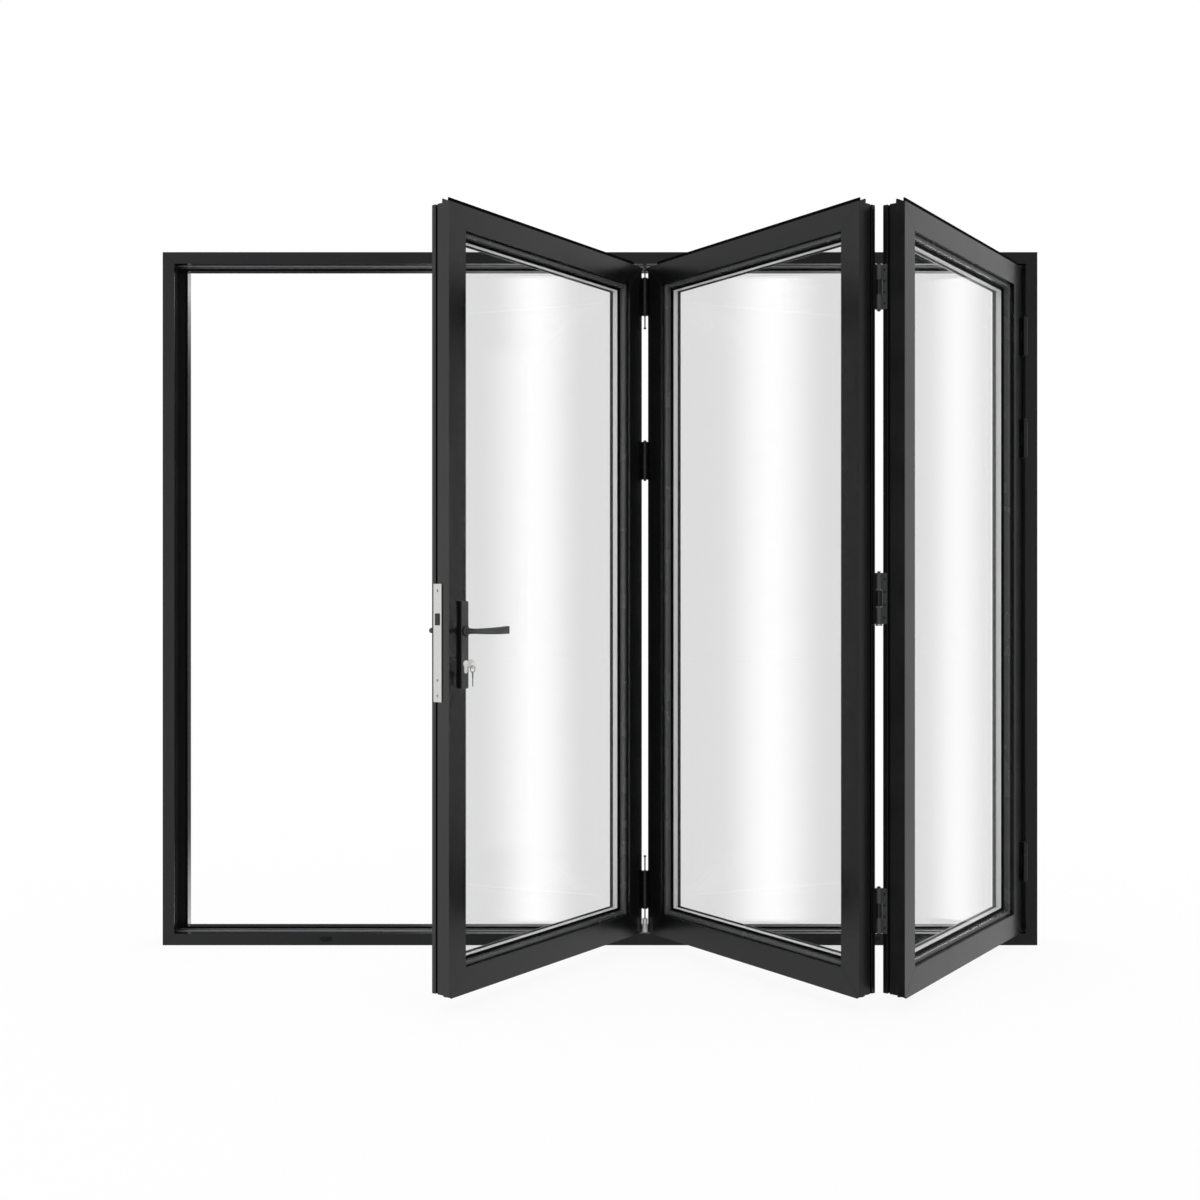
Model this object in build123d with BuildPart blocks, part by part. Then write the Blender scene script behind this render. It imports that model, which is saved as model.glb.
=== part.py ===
from build123d import *
import os
from math import cos, radians, sin

# Aluminium folding door set with a hinged access leaf, in its frame, part folded.
# Millimetres, +Z up. X runs along the frame, the outside of the door faces -Y.
# The origin is the middle of the sill's underside.

os.makedirs("parts", exist_ok=True)

# Outer frame
frame_width = 2650.0
frame_height = 2100.0
frame_depth = 100.0
lip_width = 35.0
rebate_depth = 67.0
stop_rise = 6.0
jamb_stop_rise = 21.0
jamb_groove_front = 6.0
jamb_groove_back = 16.0
jamb_groove_depth = 8.0
track_step_front = 22.0
track_step_depth = 2.0

# Track rails that sit in the head and the sill
rail_front = 36.0
rail_back = 84.0
rail_bed = 6.0
rail_wall = 2.5
rail_lip = 3.0
slot_centre = 58.0
slot_width = 12.0

# Seal strip on the frame's stops
stop_seal_width = 7.0
stop_seal_proud = 2.0
stop_seal_inset = 1.0

# Leaves
leaf_count = 3
leaf_depth = 60.0
leaf_gap = 6.25
jamb_gap = 8.75
leaf_clearance = 5.0
top_seal_height = 8.0
top_seal_depth = 4.0
pivot_notch = 45.0
fin_back = 24.0
drip_height = 4.5
drip_thickness = 2.5
drip_valley = 5.5
drip_valley_height = 0.8
drip_inset = 8.0
fold_angle = 53.3
access_angle = 53.4

# Leaf bars, measured inward from the leaf's edge and back from its face
face_width = 63.0
edge_step = 1.5
edge_step_front = 20.0
edge_groove_front = 41.0
edge_groove_back = 47.5
edge_groove_depth = 8.0
glass_pocket_width = 60.0
inner_flange_width = 83.0
inner_flange_thickness = 4.0

# Glazing
bead_front = 12.0
bead_width = 11.0
bead_chamfer = 1.5
bead_joint = 0.2
glass_front = 30.0
pane_thickness = 4.0
glass_unit = 24.0
glass_edge_gap = 3.0
gasket_thickness = 2.0
gasket_show = 7.0
spacer_inset = 1.0
spacer_width = 12.0

# Hinges
pivot_proud = 9.0
knuckle_radius = 8.0
pin_radius = 2.0
pin_clearance = 0.05
knuckle_gap = 0.4
swing_gap = 0.6
wing_thickness = 2.5
wing_reach = 27.0
apex_wing_reach = 12.5
pin_head_radius = 4.0
pin_head_height = 4.0
hinge_length = 114.0
apex_middle_hinge_length = 130.0
low_hinge_rise = 199.0
high_hinge_drop = 201.0
jamb_second_hinge_drop = 509.0
guide_hinge_rise = 114.0
track_middle_hinge_drop = 576.0
carrier_hinge_drop = 81.0
carrier_pin_reach = 36.0
guide_pin_reach = 42.0

# Carriage in the head and guide in the sill
arm_width = 10.0
arm_thickness = 6.0
arm_gap = 2.0
carriage_length = 70.0
carriage_width = 9.0
carriage_height = 14.0
wheel_radius = 9.0
wheel_width = 6.0
wheel_side_gap = 1.5
wheel_spacing = 44.0
axle_radius = 2.5
hanger_radius = 4.0
rolling_gap = 0.3
guide_plate = 4.0
guide_plate_high = 79.0
guide_plate_low = 43.0
guide_neck = 12.0
guide_boss_radius = 8.0
guide_boss_high = 84.0
guide_pin_seat = 14.0
guide_notch_depth = 4.0
guide_notch_width = 1.6
guide_notch_level = 64.0
guide_notch_fall = 9.0
guide_stem_radius = 3.0
guide_roller_radius = 5.6
guide_roller_height = 12.0

# Lock, plates and levers on the access leaf, from its free edge and the floor
plate_edge_distance = 37.0
plate_width = 26.0
plate_thickness = 10.0
plate_below_cylinder = 63.0
plate_above_lever = 76.0
plate_round = 3.0
plate_bevel = 1.5
lever_height = 967.0
lock_centres = 83.0
lever_hub_radius = 11.5
lever_hub_length = 7.0
lever_hub_round = 3.0
lever_neck_base_radius = 8.0
lever_neck_radius = 6.8
lever_reach = 125.0
lever_tip_height = 20.5
lever_tip_rise = 1.5
lever_sweep = 1.2
lever_grip_front = 52.0
lever_grip_thickness = 12.0
lever_grip_round = 2.5
lever_plate_gap = 0.3
spindle_side = 8.0
spindle_hole_radius = 8.0
cylinder_round_radius = 8.5
cylinder_stem_width = 10.0
cylinder_total_height = 33.0
cylinder_proud = 3.0
key_blade_width = 8.0
key_blade_thickness = 2.2
key_blade_length = 8.0
key_bow_radius = 12.0
key_bow_overlap = 2.0
key_hole_radius = 4.0
key_hole_offset = 4.0
key_slot_depth = 10.0
key_slot_margin = 0.3
faceplate_width = 28.0
faceplate_thickness = 3.0
faceplate_inset = 4.5
faceplate_below_cylinder = 97.0
faceplate_above_lever = 120.0
latch_above_lever = 30.0
latch_length = 28.0
latch_width = 14.0
latch_throw = 2.0
latch_margin = 1.0

# Water drain covers on the sill
drain_offset = 831.0
drain_width = 36.0
drain_height = 13.5
drain_low = 11.5
drain_proud = 3.0
drain_corner = 3.4
drain_slot_length = 29.0
drain_slot_height = 2.5
drain_slot_pitch = 6.75
drain_slot_depth = 1.5

# Places worked out from the sizes above
front_y = -frame_depth / 2
opening_width = frame_width - 2 * lip_width
leaf_width = (opening_width - 2 * jamb_gap - (leaf_count - 1) * leaf_gap) / leaf_count
leaf_low = lip_width + leaf_clearance
leaf_top = frame_height - lip_width - leaf_clearance
metal_top = leaf_top - top_seal_height
metal_low = leaf_low + drip_height
pitch = leaf_width + leaf_gap
hinge_span = leaf_depth + 2 * pivot_proud
fold_x = pitch * cos(radians(fold_angle)) + hinge_span * sin(radians(fold_angle))
fold_y = pitch * sin(radians(fold_angle)) - hinge_span * cos(radians(fold_angle))
pivot_y = front_y - pivot_proud
jamb_pivot_x = opening_width / 2 - jamb_gap + leaf_gap / 2
apex_pivot_x = jamb_pivot_x - fold_x
apex_pivot_y = pivot_y - fold_y
track_pivot_x = jamb_pivot_x - 2 * fold_x
stop_width = lip_width + stop_rise
free_edge = -(leaf_gap / 2 + leaf_width)
plate_x = free_edge + plate_edge_distance + plate_width / 2
glass_inset = face_width + glass_edge_gap
gasket_inset = face_width + bead_width + gasket_show
cylinder_height = lever_height - lock_centres
plate_low = cylinder_height - plate_below_cylinder
plate_high = lever_height + plate_above_lever
faceplate_low = cylinder_height - faceplate_below_cylinder
faceplate_high = lever_height + faceplate_above_lever
latch_height = lever_height + latch_above_lever


def save(part, name):
    """Label a finished piece and write its file."""
    part.label = name
    export_step(part, f"parts/{name}.step")


def leaf_plane(pivot_x, angle):
    """Face of a leaf: x along the face, y up, z out to the viewer, origin under its pivot."""
    turn = radians(angle)
    along = Vector(cos(turn), sin(turn), 0)
    outward = Vector(sin(turn), -cos(turn), 0)
    foot = Vector(pivot_x, pivot_y, 0) - outward * pivot_proud
    return Plane(origin=foot, x_dir=along, z_dir=outward)


def direction(plane, x, y, z):
    """A direction given in a plane's own axes."""
    return plane.from_local_coords(Vector(x, y, z)) - plane.origin


def shifted(plane, x, y, z):
    """The same plane moved by a distance along its own axes."""
    return Plane(origin=plane.from_local_coords(Vector(x, y, z)), x_dir=plane.x_dir, z_dir=plane.z_dir)


def bar_plane(panel, side, limits):
    """Plane across a bar at its middle: x runs into the panel and y runs to its back."""
    left, right, low, high = limits
    middle = ((left + right) / 2, (low + high) / 2)
    places = {
        "left": ((left, middle[1], 0), (1, 0, 0)),
        "right": ((right, middle[1], 0), (-1, 0, 0)),
        "top": ((middle[0], high, 0), (0, -1, 0)),
        "bottom": ((middle[0], low, 0), (0, 1, 0)),
    }
    place, inward = places[side]
    inward = direction(panel, *inward)
    along = inward.cross(-panel.z_dir)
    return Plane(origin=panel.from_local_coords(Vector(*place)), x_dir=inward, z_dir=along)


def bar_length(side, limits):
    """Length of a bar along its outer edge."""
    left, right, low, high = limits
    return high - low if side in ("left", "right") else right - left


def mitred_bar(panel, side, limits, outline, square_outline=None, square_inset=0.0):
    """Extruded bar with both ends mitred, and an optional tongue that ends square."""
    plane = bar_plane(panel, side, limits)
    length = bar_length(side, limits)
    with BuildPart() as bar:
        with BuildSketch(plane):
            with BuildLine():
                Polyline(*outline, close=True)
            make_face()
        extrude(amount=length / 2, both=True)
        for end in (1, -1):
            corner = plane.from_local_coords(Vector(0, 0, end * length / 2))
            split(bisect_by=Plane(origin=corner, z_dir=direction(plane, 1, 0, end)), keep=Keep.BOTTOM)
        if square_outline:
            with BuildSketch(plane):
                with BuildLine():
                    Polyline(*square_outline, close=True)
                make_face()
            extrude(amount=length / 2 - square_inset, both=True)
    return bar


def ring(panel, limits, outer, inner, front, back):
    """Rectangular ring between two insets from a panel's edges, from one depth to another."""
    left, right, low, high = limits
    width = right - left
    height = high - low
    plane = shifted(panel, (left + right) / 2, (low + high) / 2, -front)
    with BuildPart() as piece:
        with BuildSketch(plane):
            Rectangle(width - 2 * outer, height - 2 * outer)
            Rectangle(width - 2 * inner, height - 2 * inner, mode=Mode.SUBTRACT)
        extrude(amount=front - back)
    return piece


# Frame: head and sill hold the track rails, and the jambs have a deeper stop
frame_panel = Plane(origin=(0, front_y, 0), x_dir=(1, 0, 0), z_dir=(0, -1, 0))
frame_limits = (-frame_width / 2, frame_width / 2, 0, frame_height)
track_bar_outline = [
    (0, 0),
    (lip_width, 0),
    (lip_width, track_step_front),
    (lip_width - track_step_depth, track_step_front),
    (lip_width - track_step_depth, rail_front),
    (rail_bed, rail_front),
    (rail_bed, rail_back),
    (lip_width, rail_back),
    (lip_width, rebate_depth),
    (stop_width, rebate_depth),
    (stop_width, frame_depth),
    (0, frame_depth),
]
jamb_outline = [
    (0, 0),
    (lip_width, 0),
    (lip_width, jamb_groove_front),
    (lip_width - jamb_groove_depth, jamb_groove_front),
    (lip_width - jamb_groove_depth, jamb_groove_back),
    (lip_width, jamb_groove_back),
    (lip_width, rebate_depth),
    (stop_width, rebate_depth),
    (stop_width, frame_depth),
    (0, frame_depth),
]
jamb_stop_outline = [
    (stop_width, rebate_depth),
    (lip_width + jamb_stop_rise, rebate_depth),
    (lip_width + jamb_stop_rise, frame_depth),
    (stop_width, frame_depth),
]
for side, name in (("top", "frame_head"), ("bottom", "frame_sill")):
    frame_bar = mitred_bar(frame_panel, side, frame_limits, track_bar_outline)
    save(frame_bar.part, name)
for side, name in (("left", "frame_lock_jamb"), ("right", "frame_hinge_jamb")):
    jamb = mitred_bar(frame_panel, side, frame_limits, jamb_outline, jamb_stop_outline, stop_width)
    save(jamb.part, name)

# Track rails: a channel in the head for the carriage and one in the sill for the guide
rail_outline = [
    (lip_width, rail_front),
    (rail_bed, rail_front),
    (rail_bed, rail_back),
    (lip_width, rail_back),
    (lip_width, slot_centre + slot_width / 2),
    (lip_width - rail_lip, slot_centre + slot_width / 2),
    (lip_width - rail_lip, rail_back - rail_wall),
    (rail_bed + rail_wall, rail_back - rail_wall),
    (rail_bed + rail_wall, rail_front + rail_wall),
    (lip_width - rail_lip, rail_front + rail_wall),
    (lip_width - rail_lip, slot_centre - slot_width / 2),
    (lip_width, slot_centre - slot_width / 2),
]
for side, name in (("top", "head_track_rail"), ("bottom", "sill_track_rail")):
    with BuildPart() as rail:
        with BuildSketch(bar_plane(frame_panel, side, frame_limits)):
            with BuildLine():
                Polyline(*rail_outline, close=True)
            make_face()
        extrude(amount=opening_width / 2, both=True)
    save(rail.part, name)

# Seal strips on the stops that the closed leaves press on
seal_back = rebate_depth
seal_front = rebate_depth - stop_seal_proud
head_seal_level = stop_width - stop_seal_inset
jamb_seal_level = lip_width + jamb_stop_rise - stop_seal_inset
with BuildPart() as stop_seals:
    with BuildSketch(shifted(frame_panel, 0, frame_height / 2, -seal_front)):
        for end in (1, -1):
            with Locations((end * (frame_width / 2 - jamb_seal_level + stop_seal_width / 2), 0)):
                Rectangle(stop_seal_width, frame_height - 2 * stop_width)
            with Locations((0, end * (frame_height / 2 - stop_width + (stop_rise - stop_seal_inset) / 2))):
                Rectangle(opening_width - 2 * jamb_stop_rise, stop_rise - stop_seal_inset)
    extrude(amount=seal_front - seal_back)
save(stop_seals.part, "frame_stop_seals")

# Covers over the sill's drain slots
with BuildPart() as drains:
    drain_middle = drain_low + drain_height / 2
    with BuildSketch(shifted(frame_panel, 0, drain_middle, 0)):
        with Locations((-drain_offset, 0), (drain_offset, 0)):
            RectangleRounded(drain_width, drain_height, drain_corner)
    extrude(amount=drain_proud)
    with BuildSketch(shifted(frame_panel, 0, drain_middle, drain_proud)):
        for x in (-drain_offset, drain_offset):
            with Locations((x, -drain_slot_pitch / 2), (x, drain_slot_pitch / 2)):
                Rectangle(drain_slot_length, drain_slot_height)
    extrude(amount=-drain_slot_depth, mode=Mode.SUBTRACT)
save(drains.part, "drain_covers")

# Leaves: four mitred bars, a sealed glass unit, beads, gaskets and a top seal each
leaf_outline = [
    (0, 0),
    (face_width, 0),
    (face_width, glass_front - gasket_thickness),
    (glass_pocket_width, glass_front - gasket_thickness),
    (glass_pocket_width, leaf_depth - inner_flange_thickness),
    (inner_flange_width, leaf_depth - inner_flange_thickness),
    (inner_flange_width, leaf_depth),
    (edge_step, leaf_depth),
    (edge_step, edge_groove_back),
    (edge_groove_depth, edge_groove_back),
    (edge_groove_depth, edge_groove_front),
    (edge_step, edge_groove_front),
    (edge_step, edge_step_front),
    (0, edge_step_front),
]
top_seal_outline = [
    (0, 0),
    (-top_seal_height, 0),
    (-top_seal_height, top_seal_depth),
    (0, top_seal_depth),
]
top_fin_outline = [
    (0, top_seal_depth),
    (-top_seal_height, edge_step_front),
    (-top_seal_height, fin_back),
    (edge_step, fin_back),
    (edge_step, edge_step_front),
    (0, edge_step_front),
]
drip_outline = [
    (0, 0),
    (-drip_height, 0),
    (-drip_height, drip_thickness),
    (-drip_valley_height, drip_valley),
    (-drip_height, edge_step_front),
    (-drip_height, fin_back),
    (edge_step, fin_back),
    (edge_step, edge_step_front),
    (0, edge_step_front),
]
access_plane = leaf_plane(track_pivot_x, access_angle)
middle_plane = leaf_plane(track_pivot_x, -fold_angle)
end_plane = leaf_plane(jamb_pivot_x, fold_angle)
leaves = {
    "access_leaf": (access_plane, -1),
    "middle_leaf": (middle_plane, 1),
    "end_leaf": (end_plane, -1),
}


def leaf_limits(side):
    """Left, right, low and high edges of a leaf's metal on its own plane."""
    near = side * leaf_gap / 2
    far = side * (leaf_gap / 2 + leaf_width)
    return min(near, far), max(near, far), metal_low, metal_top


def bar_name(leaf, side, place):
    """The hinge stile is the one beside the leaf's pivot."""
    if place in ("top", "bottom"):
        return f"{leaf}_{place}_rail"
    beside_pivot = (place == "right") == (side == -1)
    return f"{leaf}_hinge_stile" if beside_pivot else f"{leaf}_free_stile"


def beads(panel, side):
    """Four glazing beads that hold the glass from the outside, cut square at the corners."""
    left, right, low, high = leaf_limits(side)
    inner_width = right - left - 2 * face_width
    inner_height = high - low - 2 * face_width
    across = (inner_width - bead_width) / 2
    upward = (inner_height - bead_width) / 2
    plane = shifted(panel, (left + right) / 2, (low + high) / 2, -bead_front)
    with BuildPart() as strips:
        with BuildSketch(plane):
            with Locations((-across, 0), (across, 0)):
                Rectangle(bead_width, inner_height)
            with Locations((0, -upward), (0, upward)):
                Rectangle(inner_width - 2 * bead_width - 2 * bead_joint, bead_width)
        extrude(amount=bead_front + gasket_thickness - glass_front)
        outward = Axis(plane.origin, plane.z_dir)
        fronts = strips.faces().filter_by(outward).sort_by(outward)[-4:]
        long_edges = fronts.edges().filter_by(lambda edge: edge.length > 2 * bead_width)
        chamfer(long_edges, length=bead_chamfer)
    return strips


def glass(panel, side):
    """Two panes of a sealed unit."""
    with BuildPart() as unit:
        for front in (glass_front, glass_front + glass_unit - pane_thickness):
            left, right, low, high = leaf_limits(side)
            plane = shifted(panel, (left + right) / 2, (low + high) / 2, -front)
            with BuildSketch(plane):
                Rectangle(right - left - 2 * glass_inset, high - low - 2 * glass_inset)
            extrude(amount=-pane_thickness)
    return unit


def glazing_seals(panel, side):
    """Outer gasket, spacer between the panes and inner gasket."""
    limits = leaf_limits(side)
    glass_back = glass_front + glass_unit
    spacer_inner = gasket_inset - spacer_inset
    layers = [
        (glass_inset, gasket_inset, glass_front - gasket_thickness, glass_front),
        (spacer_inner - spacer_width, spacer_inner, glass_front + pane_thickness, glass_back - pane_thickness),
        (glass_inset, gasket_inset, glass_back, glass_back + gasket_thickness),
    ]
    with BuildPart() as seals:
        for outer, inner, front, back in layers:
            add(ring(panel, limits, outer, inner, front, back).part)
    return seals


def edge_strip(panel, side, place, start, end, outline):
    """Strip along a rail's outer edge, between two distances from the leaf's end at its pivot."""
    near = side * (leaf_gap / 2 + start)
    far = side * (leaf_gap / 2 + end)
    low, high = leaf_limits(side)[2:]
    with BuildPart() as strip:
        with BuildSketch(bar_plane(panel, place, (min(near, far), max(near, far), low, high))):
            with BuildLine():
                Polyline(*outline, close=True)
            make_face()
        extrude(amount=(end - start) / 2, both=True)
    return strip


def top_seal(panel, side):
    """Wiper along the top, flush with the face and cut back at the pivot to clear the carriage's arm."""
    return edge_strip(panel, side, "top", pivot_notch, leaf_width, top_seal_outline)


def rail_fins(panel, side, place):
    """Fins that close the gap over a leaf's top rail, or shed water under its bottom rail."""
    if place == "top":
        return edge_strip(panel, side, place, pivot_notch, leaf_width, top_fin_outline)
    return edge_strip(panel, side, place, drip_inset, leaf_width - drip_inset, drip_outline)


def cylinder_sketch(margin):
    """Profile of a round and stem lock cylinder about its own centre."""
    stem = cylinder_total_height - cylinder_round_radius - cylinder_stem_width / 2
    Circle(cylinder_round_radius + margin)
    with Locations((0, -stem / 2)):
        Rectangle(cylinder_stem_width + 2 * margin, stem)
    with Locations((0, -stem)):
        Circle(cylinder_stem_width / 2 + margin)


def lock_holes(front, depth):
    """The room of the cylinder's and the spindle's holes through the stile and its plates."""
    with BuildPart() as holes:
        with BuildSketch(shifted(access_plane, plate_x, cylinder_height, front)):
            cylinder_sketch(pin_clearance)
        with BuildSketch(shifted(access_plane, plate_x, lever_height, front)):
            Circle(spindle_hole_radius)
        extrude(amount=-depth)
    return holes.part


for leaf, (panel, side) in leaves.items():
    for place in ("left", "right", "top", "bottom"):
        name = bar_name(leaf, side, place)
        with BuildPart() as leaf_bar:
            add(mitred_bar(panel, place, leaf_limits(side), leaf_outline).part)
            if place in ("top", "bottom"):
                add(rail_fins(panel, side, place).part)
            if name == "access_leaf_free_stile":
                add(lock_holes(0, leaf_depth), mode=Mode.SUBTRACT)
        save(leaf_bar.part, name)

makers = {"glass": glass, "beads": beads, "glazing_seals": glazing_seals, "top_seal": top_seal}
for kind, maker in makers.items():
    save(maker(*leaves["access_leaf"]).part, f"access_leaf_{kind}")
    with BuildPart() as pair:
        add(maker(*leaves["middle_leaf"]).part)
        add(maker(*leaves["end_leaf"]).part)
    save(pair.part, f"fold_pair_{kind}")


def hinge_heights(low, high_end_drop=None, length=hinge_length):
    """Lower and upper end of a hinge, by its rise from the floor or its drop from the frame's top."""
    if high_end_drop is None:
        return low, low + length
    return frame_height - high_end_drop - length, frame_height - high_end_drop


def wing(pivot, toward, into, heights, own, gap, reach, thickness):
    """Half of a hinge: the wing that lies on the bar's edge, and its own knuckles on the pivot."""
    low, high = heights
    third = (high - low) / 3
    flip = 1 if Vector(0, 0, 1).cross(toward).dot(into) > 0 else -1
    middle = gap - thickness / 2
    clear = knuckle_radius + swing_gap
    wing_end = pivot_proud + reach
    with BuildPart() as half:
        with BuildSketch(Plane(origin=(pivot[0], pivot[1], low), x_dir=toward, z_dir=(0, 0, 1))):
            with Locations((middle, flip * (clear + wing_end) / 2)):
                Rectangle(thickness, wing_end - clear)
        extrude(amount=high - low)
        for part in own:
            bottom = low + part * third + (knuckle_gap / 2 if part > 0 else 0)
            top = low + (part + 1) * third - (knuckle_gap / 2 if part < 2 else 0)
            with BuildSketch(Plane(origin=(pivot[0], pivot[1], bottom), x_dir=toward, z_dir=(0, 0, 1))):
                with Locations((middle, flip * clear / 2)):
                    Rectangle(thickness, clear)
                Circle(knuckle_radius)
                Circle(pin_radius + pin_clearance, mode=Mode.SUBTRACT)
            extrude(amount=top - bottom)
    return half


def wings(name, pivot, toward, into, height_list, own, gap, reach, thickness):
    """All the hinge halves of one bar, in one node."""
    with BuildPart() as halves:
        for heights in height_list:
            add(wing(pivot, toward, into, heights, own, gap, reach, thickness).part)
    save(halves.part, name)


outer_knuckles = (0, 2)
middle_knuckle = (1,)
jamb_pivot = (jamb_pivot_x, pivot_y)
apex_pivot = (apex_pivot_x, apex_pivot_y)
track_pivot = (track_pivot_x, pivot_y)
low_hinge = hinge_heights(low_hinge_rise)
high_hinge = hinge_heights(None, high_hinge_drop)
jamb_hinge_heights = [low_hinge, hinge_heights(None, jamb_second_hinge_drop), high_hinge]
apex_middle_hinge = hinge_heights((frame_height - apex_middle_hinge_length) / 2, length=apex_middle_hinge_length)
apex_hinge_heights = [low_hinge, apex_middle_hinge, high_hinge]
guide_hinge = hinge_heights(guide_hinge_rise)
middle_hinge = hinge_heights(None, track_middle_hinge_drop)
carrier_hinge = hinge_heights(None, carrier_hinge_drop)
track_hinge_heights = [guide_hinge, middle_hinge, carrier_hinge]
edge_gap = leaf_gap / 2
jamb_edge_gap = jamb_gap - leaf_gap / 2
apex_gap = edge_gap + edge_step
apex_thickness = apex_gap - edge_gap + wing_thickness

wings("jamb_hinge_frame_wings", jamb_pivot, Vector(1, 0, 0), Vector(0, 1, 0), jamb_hinge_heights,
      outer_knuckles, jamb_edge_gap, wing_reach, wing_thickness)
wings("jamb_hinge_leaf_wings", jamb_pivot, -end_plane.x_dir, -end_plane.z_dir, jamb_hinge_heights,
      middle_knuckle, edge_gap, wing_reach, wing_thickness)
wings("apex_hinge_end_wings", apex_pivot, end_plane.x_dir, end_plane.z_dir, apex_hinge_heights,
      outer_knuckles, apex_gap, apex_wing_reach, apex_thickness)
wings("apex_hinge_middle_wings", apex_pivot, -middle_plane.x_dir, middle_plane.z_dir, apex_hinge_heights,
      middle_knuckle, apex_gap, apex_wing_reach, apex_thickness)
wings("track_hinge_middle_wings", track_pivot, middle_plane.x_dir, -middle_plane.z_dir, track_hinge_heights,
      outer_knuckles, edge_gap, wing_reach, wing_thickness)
wings("track_hinge_access_wings", track_pivot, -access_plane.x_dir, -access_plane.z_dir, track_hinge_heights,
      middle_knuckle, edge_gap, wing_reach, wing_thickness)


def pin(pivot, low, high, head_levels):
    """Hinge pin with heads whose undersides are at the given levels."""
    with BuildPart() as shaft:
        with BuildSketch(Plane(origin=(pivot[0], pivot[1], low), z_dir=(0, 0, 1))):
            Circle(pin_radius)
        extrude(amount=high - low)
        for bottom in head_levels:
            with BuildSketch(Plane(origin=(pivot[0], pivot[1], bottom), z_dir=(0, 0, 1))):
                Circle(pin_head_radius)
            extrude(amount=pin_head_height)
    return shaft


# Pins: one in each plain hinge, and two long ones that hang the fold from the carriage and the guide
arm_low = frame_height - lip_width - arm_gap - arm_thickness
arm_high = arm_low + arm_thickness
carrier_pin_low = carrier_hinge[0] - carrier_pin_reach
guide_pin_low = guide_boss_high - guide_pin_seat
guide_pin_high = guide_hinge[1] + guide_pin_reach
plain_pins = [(jamb_pivot, *heights) for heights in jamb_hinge_heights]
plain_pins += [(apex_pivot, *heights) for heights in apex_hinge_heights]
plain_pins.append((track_pivot, *middle_hinge))
with BuildPart() as pins:
    for pivot, low, high in plain_pins:
        add(pin(pivot, low, high, (low - pin_head_height, high)).part)
    add(pin(track_pivot, carrier_pin_low, arm_high, [carrier_pin_low - pin_head_height]).part)
    add(pin(track_pivot, guide_pin_low, guide_pin_high, [guide_pin_high]).part)
save(pins.part, "hinge_pins")

# Head carriage: four wheels in the rail carry the long pin through an arm
slot_y = front_y + slot_centre
ledge = frame_height - lip_width + rail_lip
wheel_z = ledge + rolling_gap + wheel_radius
with BuildPart() as head_carriage:
    with BuildSketch(Plane.XY.offset(arm_low)):
        with Locations((track_pivot_x, (pivot_y + slot_y) / 2)):
            SlotCenterToCenter(slot_y - pivot_y, arm_width, rotation=90)
        with Locations((track_pivot_x, pivot_y)):
            Circle(pin_radius + pin_clearance, mode=Mode.SUBTRACT)
    extrude(amount=arm_thickness)
    with BuildSketch(Plane.XY.offset(arm_high)):
        with Locations((track_pivot_x, slot_y)):
            Circle(hanger_radius)
    extrude(amount=wheel_z - arm_high)
    with BuildSketch(Plane.XY.offset(wheel_z - carriage_height / 2)):
        with Locations((track_pivot_x, slot_y)):
            Rectangle(carriage_length, carriage_width)
    extrude(amount=carriage_height)
    axle_length = carriage_width + 2 * (wheel_side_gap + wheel_width)
    with BuildSketch(Plane.XZ.offset(-slot_y)):
        for end in (-1, 1):
            with Locations((track_pivot_x + end * wheel_spacing / 2, wheel_z)):
                Circle(axle_radius)
    extrude(amount=axle_length / 2, both=True)
save(head_carriage.part, "head_carriage")

wheel_offset = carriage_width / 2 + wheel_side_gap + wheel_width / 2
with BuildPart() as carriage_wheels:
    for row in (-1, 1):
        with BuildSketch(Plane.XZ.offset(-(slot_y + row * wheel_offset))):
            for end in (-1, 1):
                with Locations((track_pivot_x + end * wheel_spacing / 2, wheel_z)):
                    Circle(wheel_radius)
                    Circle(axle_radius + pin_clearance, mode=Mode.SUBTRACT)
        extrude(amount=wheel_width / 2, both=True)
save(carriage_wheels.part, "carriage_wheels")

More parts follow.
